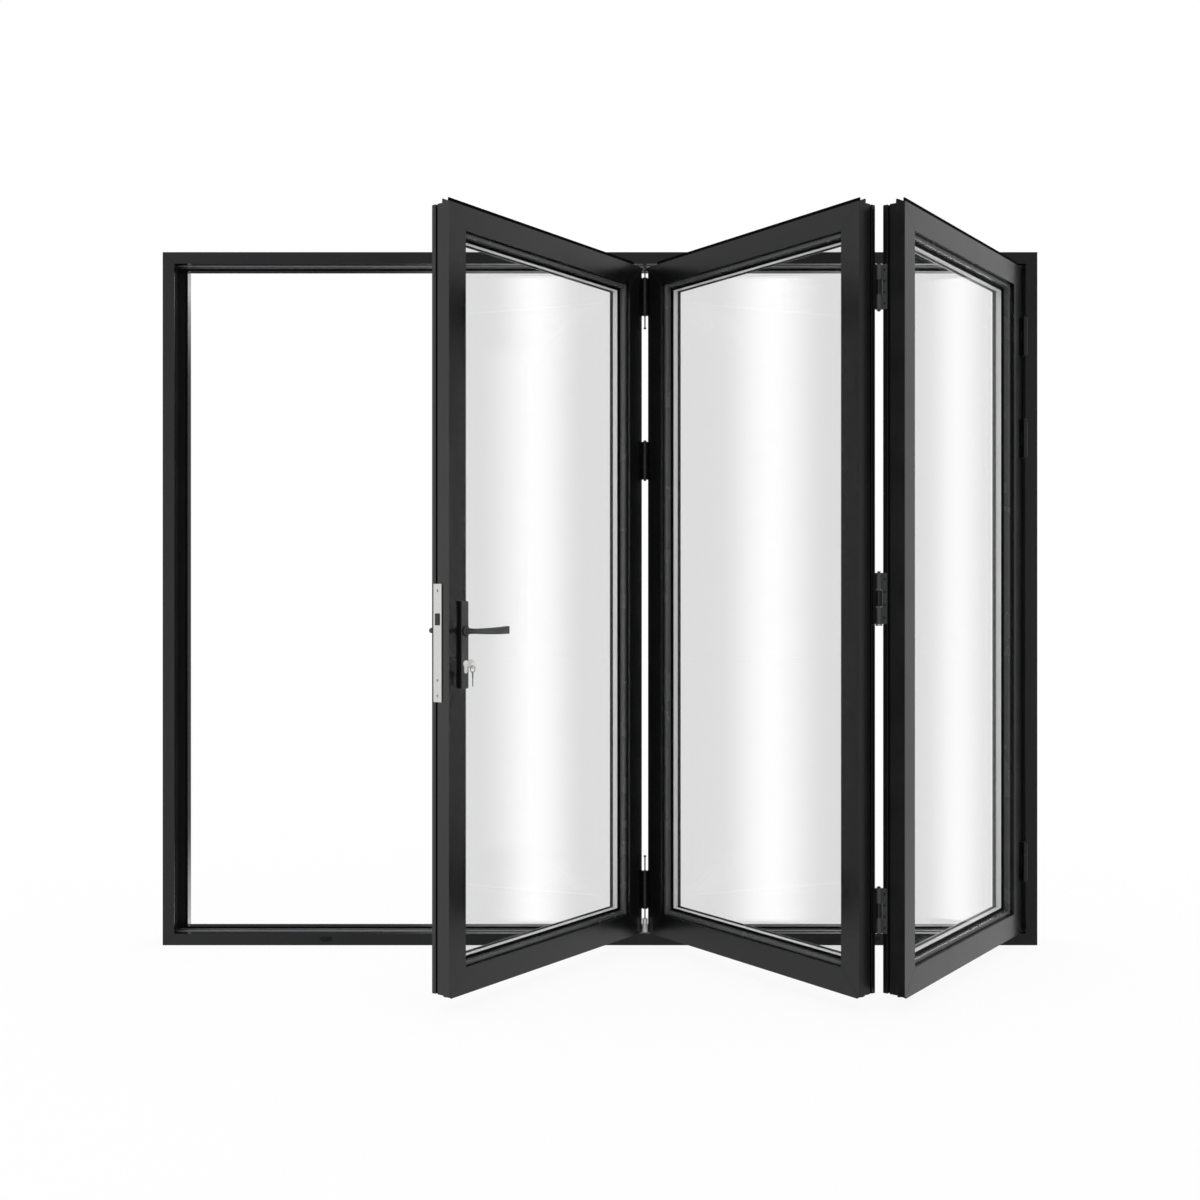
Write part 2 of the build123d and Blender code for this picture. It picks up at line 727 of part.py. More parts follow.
# Sill guide: a boss for the long lower pin, a bent plate between the leaves and a roller in the slot
roller_high = lip_width - 2 * rolling_gap
with BuildPart() as sill_guide:
    with BuildSketch(Plane(origin=(track_pivot_x, 0, 0), x_dir=(0, 1, 0), z_dir=(1, 0, 0))):
        with BuildLine():
            Polyline(
                (pivot_y, guide_plate_high),
                (slot_y + guide_stem_radius, guide_plate_low + guide_neck),
                (slot_y + guide_stem_radius, guide_plate_low),
                (pivot_y, guide_plate_low),
                close=True,
            )
        make_face()
    extrude(amount=guide_plate / 2, both=True)
    with BuildSketch(Plane.XY.offset(guide_plate_low)):
        with Locations((track_pivot_x, pivot_y)):
            Circle(guide_boss_radius)
    extrude(amount=guide_boss_high - guide_plate_low)
    with BuildSketch(Plane(origin=(track_pivot_x, pivot_y - guide_boss_radius, guide_notch_level),
                           x_dir=(1, 0, 0), z_dir=(0, -1, 0))):
        with BuildLine():
            Polyline(
                (-guide_boss_radius, guide_notch_width),
                (0, guide_notch_width - guide_notch_fall),
                (guide_boss_radius, guide_notch_width),
                (guide_boss_radius, 0),
                (guide_notch_width / 2, -guide_notch_fall),
                (guide_notch_width / 2, guide_plate_low - guide_notch_level),
                (-guide_notch_width / 2, guide_plate_low - guide_notch_level),
                (-guide_notch_width / 2, -guide_notch_fall),
                (-guide_boss_radius, 0),
                close=True,
            )
        make_face()
    extrude(amount=-guide_notch_depth, mode=Mode.SUBTRACT)
    with BuildSketch(Plane.XY.offset(guide_pin_low)):
        with Locations((track_pivot_x, pivot_y)):
            Circle(pin_radius + pin_clearance)
    extrude(amount=guide_pin_seat, mode=Mode.SUBTRACT)
    stem_low = roller_high - guide_roller_height - rolling_gap
    with BuildSketch(Plane.XY.offset(stem_low)):
        with Locations((track_pivot_x, slot_y)):
            Circle(guide_stem_radius)
    extrude(amount=guide_plate_low + guide_neck / 2 - stem_low)
save(sill_guide.part, "sill_guide")

with BuildPart() as guide_roller:
    with BuildSketch(Plane.XY.offset(roller_high - guide_roller_height)):
        with Locations((track_pivot_x, slot_y)):
            Circle(guide_roller_radius)
            Circle(guide_stem_radius + pin_clearance, mode=Mode.SUBTRACT)
    extrude(amount=guide_roller_height)
save(guide_roller.part, "sill_guide_roller")

# Lock furniture on the access leaf's free stile
plate_middle = (plate_low + plate_high) / 2
with BuildPart() as plates:
    for front in (0, -leaf_depth - plate_thickness):
        with BuildSketch(shifted(access_plane, plate_x, plate_middle, front)):
            RectangleRounded(plate_width, plate_high - plate_low, plate_round)
        extrude(amount=plate_thickness)
    outward = Axis(access_plane.origin, access_plane.z_dir)
    ends = plates.faces().filter_by(outward).sort_by(outward)
    chamfer([*ends[0].edges(), *ends[-1].edges()], length=plate_bevel)
    add(lock_holes(plate_thickness, leaf_depth + 2 * plate_thickness), mode=Mode.SUBTRACT)
save(plates.part, "lock_backplates")

key_front = plate_thickness + cylinder_proud
with BuildPart() as cylinder:
    with BuildSketch(shifted(access_plane, plate_x, cylinder_height, key_front)):
        cylinder_sketch(0)
    extrude(amount=-leaf_depth - 2 * key_front)
    for front in (key_front, -leaf_depth - key_front):
        with BuildSketch(shifted(access_plane, plate_x, cylinder_height, front)):
            Rectangle(key_blade_thickness + 2 * key_slot_margin, key_blade_width + 2 * key_slot_margin)
        extrude(amount=-key_slot_depth if front > 0 else key_slot_depth, mode=Mode.SUBTRACT)
save(cylinder.part, "lock_cylinder")

key_blade_seat = key_slot_depth - key_slot_margin
key_bow_middle = key_blade_length + key_bow_radius - key_bow_overlap
with BuildPart() as key:
    with BuildSketch(Plane(origin=access_plane.from_local_coords(Vector(plate_x, cylinder_height, key_front)),
                           x_dir=access_plane.z_dir, z_dir=access_plane.x_dir)):
        with Locations(((key_blade_length - key_blade_seat) / 2, 0)):
            Rectangle(key_blade_length + key_blade_seat, key_blade_width)
        with Locations((key_bow_middle, 0)):
            Circle(key_bow_radius)
        with Locations((key_bow_middle + key_hole_offset, 0)):
            Circle(key_hole_radius, mode=Mode.SUBTRACT)
    extrude(amount=key_blade_thickness / 2, both=True)
save(key.part, "key")

faceplate_middle = (faceplate_low + faceplate_high) / 2
faceplate_depth = edge_step_front + faceplate_inset + faceplate_width / 2
latch_level = latch_height - faceplate_middle
edge_centre = access_plane.from_local_coords(Vector(free_edge + edge_step, faceplate_middle, -faceplate_depth))
edge_plane = Plane(origin=edge_centre, x_dir=access_plane.z_dir, z_dir=-access_plane.x_dir)
with BuildPart() as faceplate:
    with BuildSketch(edge_plane):
        Rectangle(faceplate_width, faceplate_high - faceplate_low)
        with Locations((0, latch_level)):
            Rectangle(latch_width + 2 * latch_margin, latch_length + 2 * latch_margin, mode=Mode.SUBTRACT)
    extrude(amount=faceplate_thickness)
save(faceplate.part, "lock_faceplate")

with BuildPart() as latch:
    with BuildSketch(edge_plane):
        with Locations((0, latch_level)):
            Rectangle(latch_width, latch_length)
    extrude(amount=faceplate_thickness + latch_throw)
save(latch.part, "latch_bolt")


def lever(front):
    """Lever on one side: a domed hub, a tapered neck out of the plate and a grip that widens to its tip."""
    outward = 1 if front else -1
    base = plate_thickness + lever_plate_gap if front else -leaf_depth - plate_thickness - lever_plate_gap
    grip_start = lever_grip_front - lever_grip_thickness
    grip_base = grip_start if front else -leaf_depth - grip_start
    neck_length = grip_start - plate_thickness - lever_plate_gap
    axis_origin = access_plane.from_local_coords(Vector(plate_x, lever_height, base))
    axis_plane = Plane(origin=axis_origin, x_dir=access_plane.x_dir, z_dir=access_plane.z_dir * outward)
    with BuildPart() as handle:
        with BuildSketch(axis_plane):
            Circle(lever_hub_radius)
        extrude(amount=lever_hub_length)
        rims = handle.edges().filter_by(GeomType.CIRCLE).sort_by(Axis(axis_origin, axis_plane.z_dir))
        fillet(rims[-1], radius=lever_hub_round)
        with BuildSketch(axis_plane):
            Circle(lever_neck_base_radius)
        with BuildSketch(axis_plane.offset(neck_length)):
            Circle(lever_neck_radius)
        loft()
    with BuildPart() as grip:
        with BuildSketch(shifted(access_plane, plate_x, lever_height, grip_base)):
            with BuildLine():
                top_tip = (lever_reach, lever_tip_height / 2 + lever_tip_rise)
                low_tip = (lever_reach, lever_tip_rise - lever_tip_height / 2)
                top_middle = (lever_reach / 2, (lever_neck_radius + top_tip[1]) / 2 - lever_sweep)
                low_middle = (lever_reach / 2, (low_tip[1] - lever_neck_radius) / 2 - lever_sweep)
                ThreePointArc((0, lever_neck_radius), (-lever_neck_radius, 0), (0, -lever_neck_radius))
                ThreePointArc((0, -lever_neck_radius), low_middle, low_tip)
                Line(low_tip, top_tip)
                ThreePointArc(top_tip, top_middle, (0, lever_neck_radius))
            make_face()
        extrude(amount=outward * lever_grip_thickness)
        fillet(grip.edges(), radius=lever_grip_round)
    with BuildPart() as whole:
        add(handle.part)
        add(grip.part)
    return whole


save(lever(True).part, "outer_lever")
save(lever(False).part, "inner_lever")

spindle_length = leaf_depth + 2 * (plate_thickness + lever_plate_gap)
with BuildPart() as spindle:
    with BuildSketch(shifted(access_plane, plate_x, lever_height, -leaf_depth / 2)):
        Rectangle(spindle_side, spindle_side)
    extrude(amount=spindle_length / 2, both=True)
save(spindle.part, "lever_spindle")
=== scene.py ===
"""Looks of an aluminium folding door with a hinged access leaf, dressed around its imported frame."""
import functools
import logging
import math
from collections.abc import Callable
from dataclasses import dataclass
from enum import Enum

import bmesh
import bpy
from mathutils import Matrix, Vector


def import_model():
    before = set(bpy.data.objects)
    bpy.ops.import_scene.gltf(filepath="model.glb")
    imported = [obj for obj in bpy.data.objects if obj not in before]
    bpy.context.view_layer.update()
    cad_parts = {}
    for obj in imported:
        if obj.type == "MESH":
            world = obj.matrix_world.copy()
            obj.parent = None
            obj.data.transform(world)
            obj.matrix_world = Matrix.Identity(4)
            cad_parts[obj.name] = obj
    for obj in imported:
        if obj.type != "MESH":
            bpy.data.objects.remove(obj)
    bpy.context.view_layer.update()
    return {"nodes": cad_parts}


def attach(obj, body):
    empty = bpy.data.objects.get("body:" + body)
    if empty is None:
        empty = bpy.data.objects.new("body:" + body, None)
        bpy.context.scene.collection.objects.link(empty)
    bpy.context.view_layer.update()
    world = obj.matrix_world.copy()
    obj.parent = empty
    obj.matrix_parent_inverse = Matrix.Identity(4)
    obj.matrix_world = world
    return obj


LOG = logging.getLogger("folding_door")
MM = 0.001
UP = Vector((0.0, 0.0, 1.0))
# A view along the fold crosses six panes, which have twelve faces, and Blender stops at eight
CLEAR_FACES = 24


class Slot(Enum):
    """Names of the record's material slots."""

    SEAL_RUBBER = "seal_rubber"
    COVER_PLASTIC = "cover_plastic"
    HINGE_PAINT = "hinge_paint"
    STEEL = "steel"
    TRACK_ALUMINIUM = "track_aluminium"


class Body(Enum):
    """Names of the bodies that pieces ride on."""

    FRAME = "frame"
    ACCESS_LEAF = "access_leaf"


class Grain(Enum):
    """Direction in which a metal was drawn or brushed, as the stretch of its pattern along X, Y and Z."""

    ALONG_X = (0.01, 1.0, 1.0)
    ALONG_Z = (1.0, 1.0, 0.01)
    ROUND_Z = (0.05, 0.05, 1.0)


def linear(hex_colour: str) -> tuple[float, float, float, float]:
    """Turn an sRGB hex colour into linear light.

    Args:
        hex_colour: Colour such as "#2B2C2E".

    Returns:
        Red, green, blue and an alpha of 1.
    """
    channels = []
    for start in (1, 3, 5):
        value = int(hex_colour[start:start + 2], 16) / 255
        channels.append(value / 12.92 if value <= 0.04045 else ((value + 0.055) / 1.055) ** 2.4)
    return channels[0], channels[1], channels[2], 1.0


def add_node(tree: bpy.types.NodeTree, kind: str, values: dict | None = None, links: dict | None = None,
             **settings: object) -> bpy.types.Node:
    """Add one node with its settings, socket values and links.

    Args:
        tree: Node tree of a material or of the world.
        kind: Blender's type name of the node, without its Shader prefix.
        values: Socket names or numbers with the values they get.
        links: Socket names or numbers with the output sockets they are fed from.
        **settings: Properties of the node itself.

    Returns:
        The new node.
    """
    node = tree.nodes.new(f"ShaderNode{kind}")
    for name, value in settings.items():
        setattr(node, name, value)
    for socket, value in (values or {}).items():
        node.inputs[socket].default_value = value
    for socket, source in (links or {}).items():
        tree.links.new(source, node.inputs[socket])
    return node


def new_material(name: str) -> tuple[bpy.types.Material, bpy.types.NodeTree]:
    """Start an empty node material.

    Args:
        name: Name of the finish.

    Returns:
        The material and its node tree.
    """
    material = bpy.data.materials.new(name)
    material.use_nodes = True
    material.node_tree.nodes.clear()
    return material, material.node_tree


def mottle(tree: bpy.types.NodeTree, size_mm: float, low: float = 0.0, high: float = 1.0, detail: float = 2.0,
           stretch: tuple[float, float, float] = (1.0, 1.0, 1.0)) -> bpy.types.NodeSocket:
    """Lay an uneven pattern over the part's own coordinates, spread between two numbers.

    Args:
        tree: Node tree of the material.
        size_mm: Size of one grain in millimetres.
        low: Result where the pattern is low.
        high: Result where the pattern is high.
        detail: How many finer layers lie on top.
        stretch: Scale along each axis; a small value draws the grain out.

    Returns:
        The pattern's socket.
    """
    place = add_node(tree, "TexCoord").outputs["Object"]
    drawn = add_node(tree, "Mapping", {"Scale": stretch}, {"Vector": place}).outputs["Vector"]
    grains = add_node(tree, "TexNoise", {"Scale": 1 / (size_mm * MM), "Detail": detail}, {"Vector": drawn})
    # Noise keeps near a half, so its middle is stretched over the whole range
    spread = {"From Min": 0.3, "From Max": 0.7, "To Min": low, "To Max": high}
    return add_node(tree, "MapRange", spread, {"Value": grains.outputs["Fac"]}).outputs["Result"]


@dataclass(frozen=True)
class PowderCoat:
    """Polyester powder sprayed on aluminium and baked.

    The powder flows into a skin with a fine tooth, so its shine is soft and a grazing view makes it
    pale. A wide faint ripple is left where the coat is thicker.
    """

    name: str
    colour: str
    thick_colour: str
    roughness: float
    roughness_spread: float = 0.03
    tooth_mm: float = 1.6
    tooth_depth_mm: float = 0.005
    ripple_mm: float = 22.0
    ripple_depth_mm: float = 0.005
    patch_mm: float = 90.0

    def build(self) -> bpy.types.Material:
        """Lay the finish's patterns and join them in a shader.

        Returns:
            The material.
        """
        material, tree = new_material(self.name)
        tint = add_node(tree, "Mix", {"A": linear(self.colour), "B": linear(self.thick_colour)},
                        {"Factor": mottle(tree, self.patch_mm)}, data_type="RGBA")
        rough = mottle(tree, self.patch_mm, self.roughness - self.roughness_spread,
                       self.roughness + self.roughness_spread, 4.0)
        # The tooth of a real coat is about 0.2 mm wide; it is drawn coarser so that it shows
        ripple = add_node(tree, "Bump", {"Distance": self.ripple_depth_mm * MM},
                          {"Height": mottle(tree, self.ripple_mm)})
        tooth = add_node(tree, "Bump", {"Distance": self.tooth_depth_mm * MM},
                         {"Height": mottle(tree, self.tooth_mm), "Normal": ripple.outputs["Normal"]})
        shader = add_node(tree, "BsdfPrincipled", {"Metallic": 0.0, "IOR": 1.5},
                          {"Base Color": tint.outputs["Result"], "Roughness": rough,
                           "Normal": tooth.outputs["Normal"]})
        add_node(tree, "OutputMaterial", links={"Surface": shader.outputs["BSDF"]})
        return material


@dataclass(frozen=True)
class DrawnMetal:
    """Bare metal that was extruded, drawn, turned or brushed, and left satin.

    Its fine parallel marks pull each highlight out across them and leave faint lighter and darker lines.
    """

    name: str
    colour: str
    dull_colour: str
    roughness: float
    grain: Grain
    metallic: float = 1.0
    roughness_spread: float = 0.06
    line_mm: float = 1.2
    line_depth_mm: float = 0.006

    def build(self) -> bpy.types.Material:
        """Lay the finish's patterns and join them in a shader.

        Returns:
            The material.
        """
        material, tree = new_material(self.name)
        tint = add_node(tree, "Mix", {"A": linear(self.dull_colour), "B": linear(self.colour)},
                        {"Factor": mottle(tree, self.line_mm, detail=3.0, stretch=self.grain.value)},
                        data_type="RGBA")
        rough = mottle(tree, self.line_mm, self.roughness - self.roughness_spread,
                       self.roughness + self.roughness_spread, 3.0, self.grain.value)
        # Drawing marks are some 0.05 mm wide; they are drawn coarser so that they show
        marks = add_node(tree, "Bump", {"Distance": self.line_depth_mm * MM},
                         {"Height": mottle(tree, self.line_mm, detail=3.0, stretch=self.grain.value)})
        shader = add_node(tree, "BsdfPrincipled", {"Metallic": self.metallic},
                          {"Base Color": tint.outputs["Result"], "Roughness": rough,
                           "Normal": marks.outputs["Normal"]})
        add_node(tree, "OutputMaterial", links={"Surface": shader.outputs["BSDF"]})
        return material


@dataclass(frozen=True)
class MouldedBlack:
    """Black rubber, nylon or brush pile from an extruder or a mould.

    Carbon black takes nearly all light and the dull skin gives little back, so it reads as a black line
    with a slightly uneven sheen.
    """

    name: str
    colour: str
    bloom_colour: str
    roughness: float
    sheen_level: float
    skin_mm: float
    skin_depth_mm: float
    roughness_spread: float = 0.06
    bloom_mm: float = 35.0

    def build(self) -> bpy.types.Material:
        """Lay the finish's patterns and join them in a shader.

        Returns:
            The material.
        """
        material, tree = new_material(self.name)
        tint = add_node(tree, "Mix", {"A": linear(self.colour), "B": linear(self.bloom_colour)},
                        {"Factor": mottle(tree, self.bloom_mm, detail=4.0)}, data_type="RGBA")
        rough = mottle(tree, self.bloom_mm, self.roughness - self.roughness_spread,
                       self.roughness + self.roughness_spread)
        skin = add_node(tree, "Bump", {"Distance": self.skin_depth_mm * MM},
                        {"Height": mottle(tree, self.skin_mm)})
        shader = add_node(tree, "BsdfPrincipled",
                          {"Metallic": 0.0, "IOR": 1.5, "Specular IOR Level": self.sheen_level},
                          {"Base Color": tint.outputs["Result"], "Roughness": rough,
                           "Normal": skin.outputs["Normal"]})
        add_node(tree, "OutputMaterial", links={"Surface": shader.outputs["BSDF"]})
        return material


@dataclass(frozen=True)
class FloatGlass:
    """Pane of tinted float glass in a sealed unit.

    It was cast on molten tin, so it is flat and clear: it dims what lies behind it a little and mirrors
    more the flatter it is looked at. The tint holds what both faces of a pane keep back, and only the
    face that is met first mirrors, for both.
    """

    name: str
    tint: str
    ior: float = 1.5
    wave_mm: float = 260.0
    wave_depth_mm: float = 0.006

    def build(self) -> bpy.types.Material:
        """Lay the finish's patterns and join them in a shader.

        Returns:
            The material.
        """
        material, tree = new_material(self.name)
        wave = add_node(tree, "Bump", {"Distance": self.wave_depth_mm * MM},
                        {"Height": mottle(tree, self.wave_mm, detail=0.0)})
        edge_on = add_node(tree, "Fresnel", {"IOR": self.ior})
        back = add_node(tree, "NewGeometry")
        front_only = add_node(tree, "Math", {0: 1.0}, {1: back.outputs["Backfacing"]}, operation="SUBTRACT")
        share = add_node(tree, "Math", links={0: edge_on.outputs["Fac"], 1: front_only.outputs["Value"]},
                         operation="MULTIPLY")
        tint = add_node(tree, "Mix", {"A": linear(self.tint), "B": linear("#FFFFFF")},
                        {"Factor": back.outputs["Backfacing"]}, data_type="RGBA")
        clear = add_node(tree, "BsdfTransparent", links={"Color": tint.outputs["Result"]})
        mirror = add_node(tree, "BsdfAnisotropic", {"Roughness": 0.0},
                          {"Color": share.outputs["Value"], "Normal": wave.outputs["Normal"]})
        shader = add_node(tree, "AddShader", links={0: clear.outputs["BSDF"], 1: mirror.outputs["BSDF"]})
        add_node(tree, "OutputMaterial", links={"Surface": shader.outputs["Shader"]})
        return material


Finish = PowderCoat | DrawnMetal | MouldedBlack | FloatGlass

# The profiles' coat is nearly black, so that only its sheen tells one face from the next
ANTHRACITE_COAT = PowderCoat("anthracite_powder_coat", "#090A0A", "#0C0C0D", roughness=0.24)
# The beads' coat is painted lighter than the profiles': partly the beads' own paler tone and partly a painted
# highlight for the bright line along their undersides; it flows out flatter, which keeps that line thin and clean
BEAD_COAT_AND_HIGHLIGHT = PowderCoat("bead_coat_and_painted_highlight", "#4C4D4D", "#515252", roughness=0.26, tooth_depth_mm=0.003,
                       ripple_depth_mm=0.004)
# Cast plates, levers and hinges are coated duller, and look soft beside the profiles
PLATE_COAT = PowderCoat("grey_lock_coat", "#3E3F40", "#424344", roughness=0.3, tooth_mm=1.2)
HINGE_COAT = PowderCoat("black_hinge_coat", "#0B0B0C", "#0F0F10", roughness=0.3, tooth_mm=1.2)
# The apex hinges' end wings get a paler copy of the black hinge coat as painted light, for the light they catch;
# the middle wings of the same hinges stay black
APEX_WING_COAT_PAINTED_LIGHT = PowderCoat("apex_wing_painted_light", "#3C3D3E", "#424344", roughness=0.32, tooth_mm=1.2)
# Screws are blacked in a hot bath, and each head keeps one small dull light
BLACKED_STEEL = PowderCoat("blacked_screw_steel", "#070708", "#0C0C0D", roughness=0.3, tooth_mm=1.0)
# The rails are extruded and anodised: pale, satin, and streaked along the track
ANODISED_TRACK = DrawnMetal("anodised_track_aluminium", "#C9CACC", "#B9BABD", 0.38, Grain.ALONG_X)
# The faceplate is brushed from end to end, and shines as one even pale strip
BRUSHED_STEEL = DrawnMetal("brushed_stainless_steel", "#CECECC", "#C0C0BE", 0.3, Grain.ALONG_Z)
# Turned and pressed steel is zinc plated: bright where the plating is fresh, grey on screws and keys; on the
# faceplate's screws that darker grey is partly painted shade, standing in for the shade in their recesses
TURNED_STEEL = DrawnMetal("turned_zinc_steel", "#D0D0CE", "#BEBEBC", 0.28, Grain.ROUND_Z)
BRIGHT_ZINC = DrawnMetal("bright_zinc_plated_steel", "#EDEDEB", "#DEDEDC", 0.3, Grain.ALONG_Z, 0.4)
ZINC_STEEL = DrawnMetal("zinc_screw_steel", "#9A9A98", "#8A8A88", 0.35, Grain.ROUND_Z)
# The cylinder is nickel-plated brass, given a near-white base that is mostly not metal: partly the plating's pale
# tone and partly a painted reflection of the white room, so it is the whitest thing on the door
NICKEL_AND_REFLECTION = DrawnMetal("nickel_and_painted_reflection", "#FAFAF8", "#F0F0EE", 0.4, Grain.ALONG_Z, 0.2, line_mm=2.0)
# The spacer is rolled foil left bare, which draws a pale line round each pane
MILL_ALUMINIUM = DrawnMetal("mill_finish_spacer_aluminium", "#FCFCFC", "#F2F2F2", 0.5, Grain.ALONG_Z, 0.4)
# Extruded seals are dull black, brush strips swallow light, and moulded nylon has a little shine
EPDM_RUBBER = MouldedBlack("epdm_rubber", "#060606", "#090909", 0.62, 0.12, skin_mm=1.5, skin_depth_mm=0.02)
BRUSH_PILE = MouldedBlack("polypropylene_brush_pile", "#050505", "#090909", 0.85, 0.05, skin_mm=0.9,
                          skin_depth_mm=0.3)
MOULDED_NYLON = MouldedBlack("moulded_black_nylon", "#0E0E0F", "#131314", 0.48, 0.3, skin_mm=0.8,
                             skin_depth_mm=0.015)
# Float glass toned grey in the melt dims a white room to pale grey
GREY_FLOAT_GLASS = FloatGlass("grey_float_glass", "#EDEDED")


@functools.cache
def material_of(finish: Finish) -> bpy.types.Material:
    """Give a finish's material, made on the first call."""
    return finish.build()


def seat(origin: Vector, across: Vector, outward: Vector) -> Matrix:
    """Give the axes of a small piece that is seated on a face.

    Args:
        origin: Its foot in millimetres.
        across: Its own x direction, along the face.
        outward: Its own z direction, out of the face.

    Returns:
        Matrix from the piece's own millimetres to the door's.
    """
    side = outward.cross(across)
    axes = Matrix((across, side, outward)).transposed().to_4x4()
    return Matrix.Translation(origin) @ axes


class Form:
    """Mesh that grows shape by shape, given in millimetres, and ends as one object in metres."""

    def __init__(self) -> None:
        """Start empty."""
        self._mesh = bmesh.new()

    def skin(self, rings: list[list[Vector]], round_trip: bool = False) -> None:
        """Lay a skin over rings of points that have as many points each.

        Args:
            rings: Rings in order, in the door's millimetres.
            round_trip: Whether the last ring meets the first again; otherwise both ends are closed.
        """
        rows = [[self._mesh.verts.new(point * MM) for point in ring] for ring in rings]
        count = len(rows[0])
        pairs = list(zip(rows, rows[1:]))
        if round_trip:
            pairs.append((rows[-1], rows[0]))
        for low, high in pairs:
            for index in range(count):
                after = (index + 1) % count
                self._mesh.faces.new((low[index], low[after], high[after], high[index]))
        if not round_trip:
            self._mesh.faces.new(rows[0][::-1])
            self._mesh.faces.new(rows[-1])

    def turned(self, place: Matrix, steps: list[tuple[float | Callable[[float], float], float]],
               sides: int = 32) -> None:
        """Turn a profile round its axis.

        Args:
            place: Seat of the piece.
            steps: Radius and height of each step; a radius may be a function of the angle.
            sides: How many points go round.
        """
        rings = []
        for radius, height in steps:
            ring = []
            for index in range(sides):
                angle = 2 * math.pi * index / sides
                reach = radius(angle) if callable(radius) else radius
                ring.append(place @ Vector((reach * math.cos(angle), reach * math.sin(angle), height)))
            rings.append(ring)
        self.skin(rings)

    def collar(self, place: Matrix, bore: float, radius: float, height: float, edge: float = 0.4,
               sides: int = 64) -> None:
        """Turn a ring with rounded outer edges.

        Args:
            place: Seat of the ring.
            bore: Radius of its hole.
            radius: Its outer radius.
            height: How thick it is.
            edge: Size of the rounding.
            sides: How many points go round.
        """
        steps = [(bore, 0.0), (radius - edge, 0.0), (radius, edge), (radius, height - edge),
                 (radius - edge, height), (bore, height)]
        angles = [2 * math.pi * index / sides for index in range(sides)]
        self.skin([[place @ Vector((reach * math.cos(angle), reach * math.sin(angle), rise))
                    for angle in angles] for reach, rise in steps], round_trip=True)

    def plate(self, place: Matrix, outline: list[tuple[float, float]], thickness: float) -> None:
        """Cut a flat plate to an outline, seated at the middle of its thickness."""
        self.skin([[place @ Vector((x, y, side * thickness / 2)) for x, y in outline] for side in (-1, 1)])

    def wire(self, path: list[Vector], radius: float, sides: int = 8) -> None:
        """Draw a round wire along a path.

        Args:
            path: Points of its middle line.
            radius: Radius of the wire.
            sides: How many points go round.
        """
        rings = []
        for index, point in enumerate(path):
            ahead = path[min(index + 1, len(path) - 1)] - path[max(index - 1, 0)]
            flat = ahead.cross(Vector((0.31, 0.87, 0.38))).normalized()
            steep = ahead.cross(flat).normalized()
            angles = [2 * math.pi * step / sides for step in range(sides)]
            rings.append([point + radius * (math.cos(angle) * flat + math.sin(angle) * steep)
                          for angle in angles])
        self.skin(rings)

    def finish(self, name: str) -> bpy.types.Object:
        """End the mesh as one object.

        Args:
            name: Name of the piece.

        Returns:
            The object, linked to the scene.
        """
        bmesh.ops.recalc_face_normals(self._mesh, faces=self._mesh.faces)
        mesh = bpy.data.meshes.new(name)
        self._mesh.to_mesh(mesh)
        self._mesh.free()
        piece = bpy.data.objects.new(name, mesh)
        bpy.context.scene.collection.objects.link(piece)
        return piece


@dataclass(frozen=True)
class LeafPlane:
    """One leaf's own axes, in millimetres: along its face, up, and out of its face."""

    name: str
    body: Body
    pivot: tuple[float, float]
    turn: float
    side: int
    pivot_proud: float = 9.0
    width: float = 850.0
    edge: float = 3.125

    @property
    def along(self) -> Vector:
        """Direction along the face."""
        return Vector((math.cos(math.radians(self.turn)), math.sin(math.radians(self.turn)), 0.0))

    @property
    def outward(self) -> Vector:
        """Direction out of the face."""
        return Vector((math.sin(math.radians(self.turn)), -math.cos(math.radians(self.turn)), 0.0))

    @property
    def limits(self) -> tuple[float, float]:
        """Left and right edge along the face."""
        ends = (self.side * self.edge, self.side * (self.edge + self.width))
        return min(ends), max(ends)

    def point(self, along: float, height: float, outward: float) -> Vector:
        """Give a place from the pivot along the face, up, and out of the face, in the door's millimetres."""
        foot = Vector((*self.pivot, 0.0)) - self.outward * self.pivot_proud
        return foot + self.along * along + UP * height + self.outward * outward


@dataclass(frozen=True)
class FoldPlan:
    """Where the three leaves stand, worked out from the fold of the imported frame."""

    jamb_pivot_x: float = 1284.375
    pivot_y: float = -59.0
    pitch: float = 856.25
    hinge_span: float = 78.0
    fold_turn: float = 53.3
    access_turn: float = 53.4

    @property
    def jamb_pivot(self) -> tuple[float, float]:
        """Line on which the pair hangs from the jamb."""
        return self.jamb_pivot_x, self.pivot_y

    @property
    def apex_pivot(self) -> tuple[float, float]:
        """Line between the pair's two leaves.

        Returns:
            Its x and y.
        """
        turn = math.radians(self.fold_turn)
        reach = self.pitch * math.cos(turn) + self.hinge_span * math.sin(turn)
        depth = self.pitch * math.sin(turn) - self.hinge_span * math.cos(turn)
        return self.jamb_pivot_x - reach, self.pivot_y - depth

    @property
    def track_pivot(self) -> tuple[float, float]:
        """Line that hangs from the carriage."""
        return 2 * self.apex_pivot[0] - self.jamb_pivot_x, self.pivot_y

    @property
    def access(self) -> LeafPlane:
        """The access leaf."""
        return LeafPlane("access_leaf", Body.ACCESS_LEAF, self.track_pivot, self.access_turn, -1)

    @property
    def middle(self) -> LeafPlane:
        """The leaf between the carriage and the apex."""
        return LeafPlane("middle_leaf", Body.FRAME, self.track_pivot, -self.fold_turn, 1)

    @property
    def end(self) -> LeafPlane:
        """The leaf that hangs on the jamb."""
        return LeafPlane("end_leaf", Body.FRAME, self.jamb_pivot, self.fold_turn, -1)


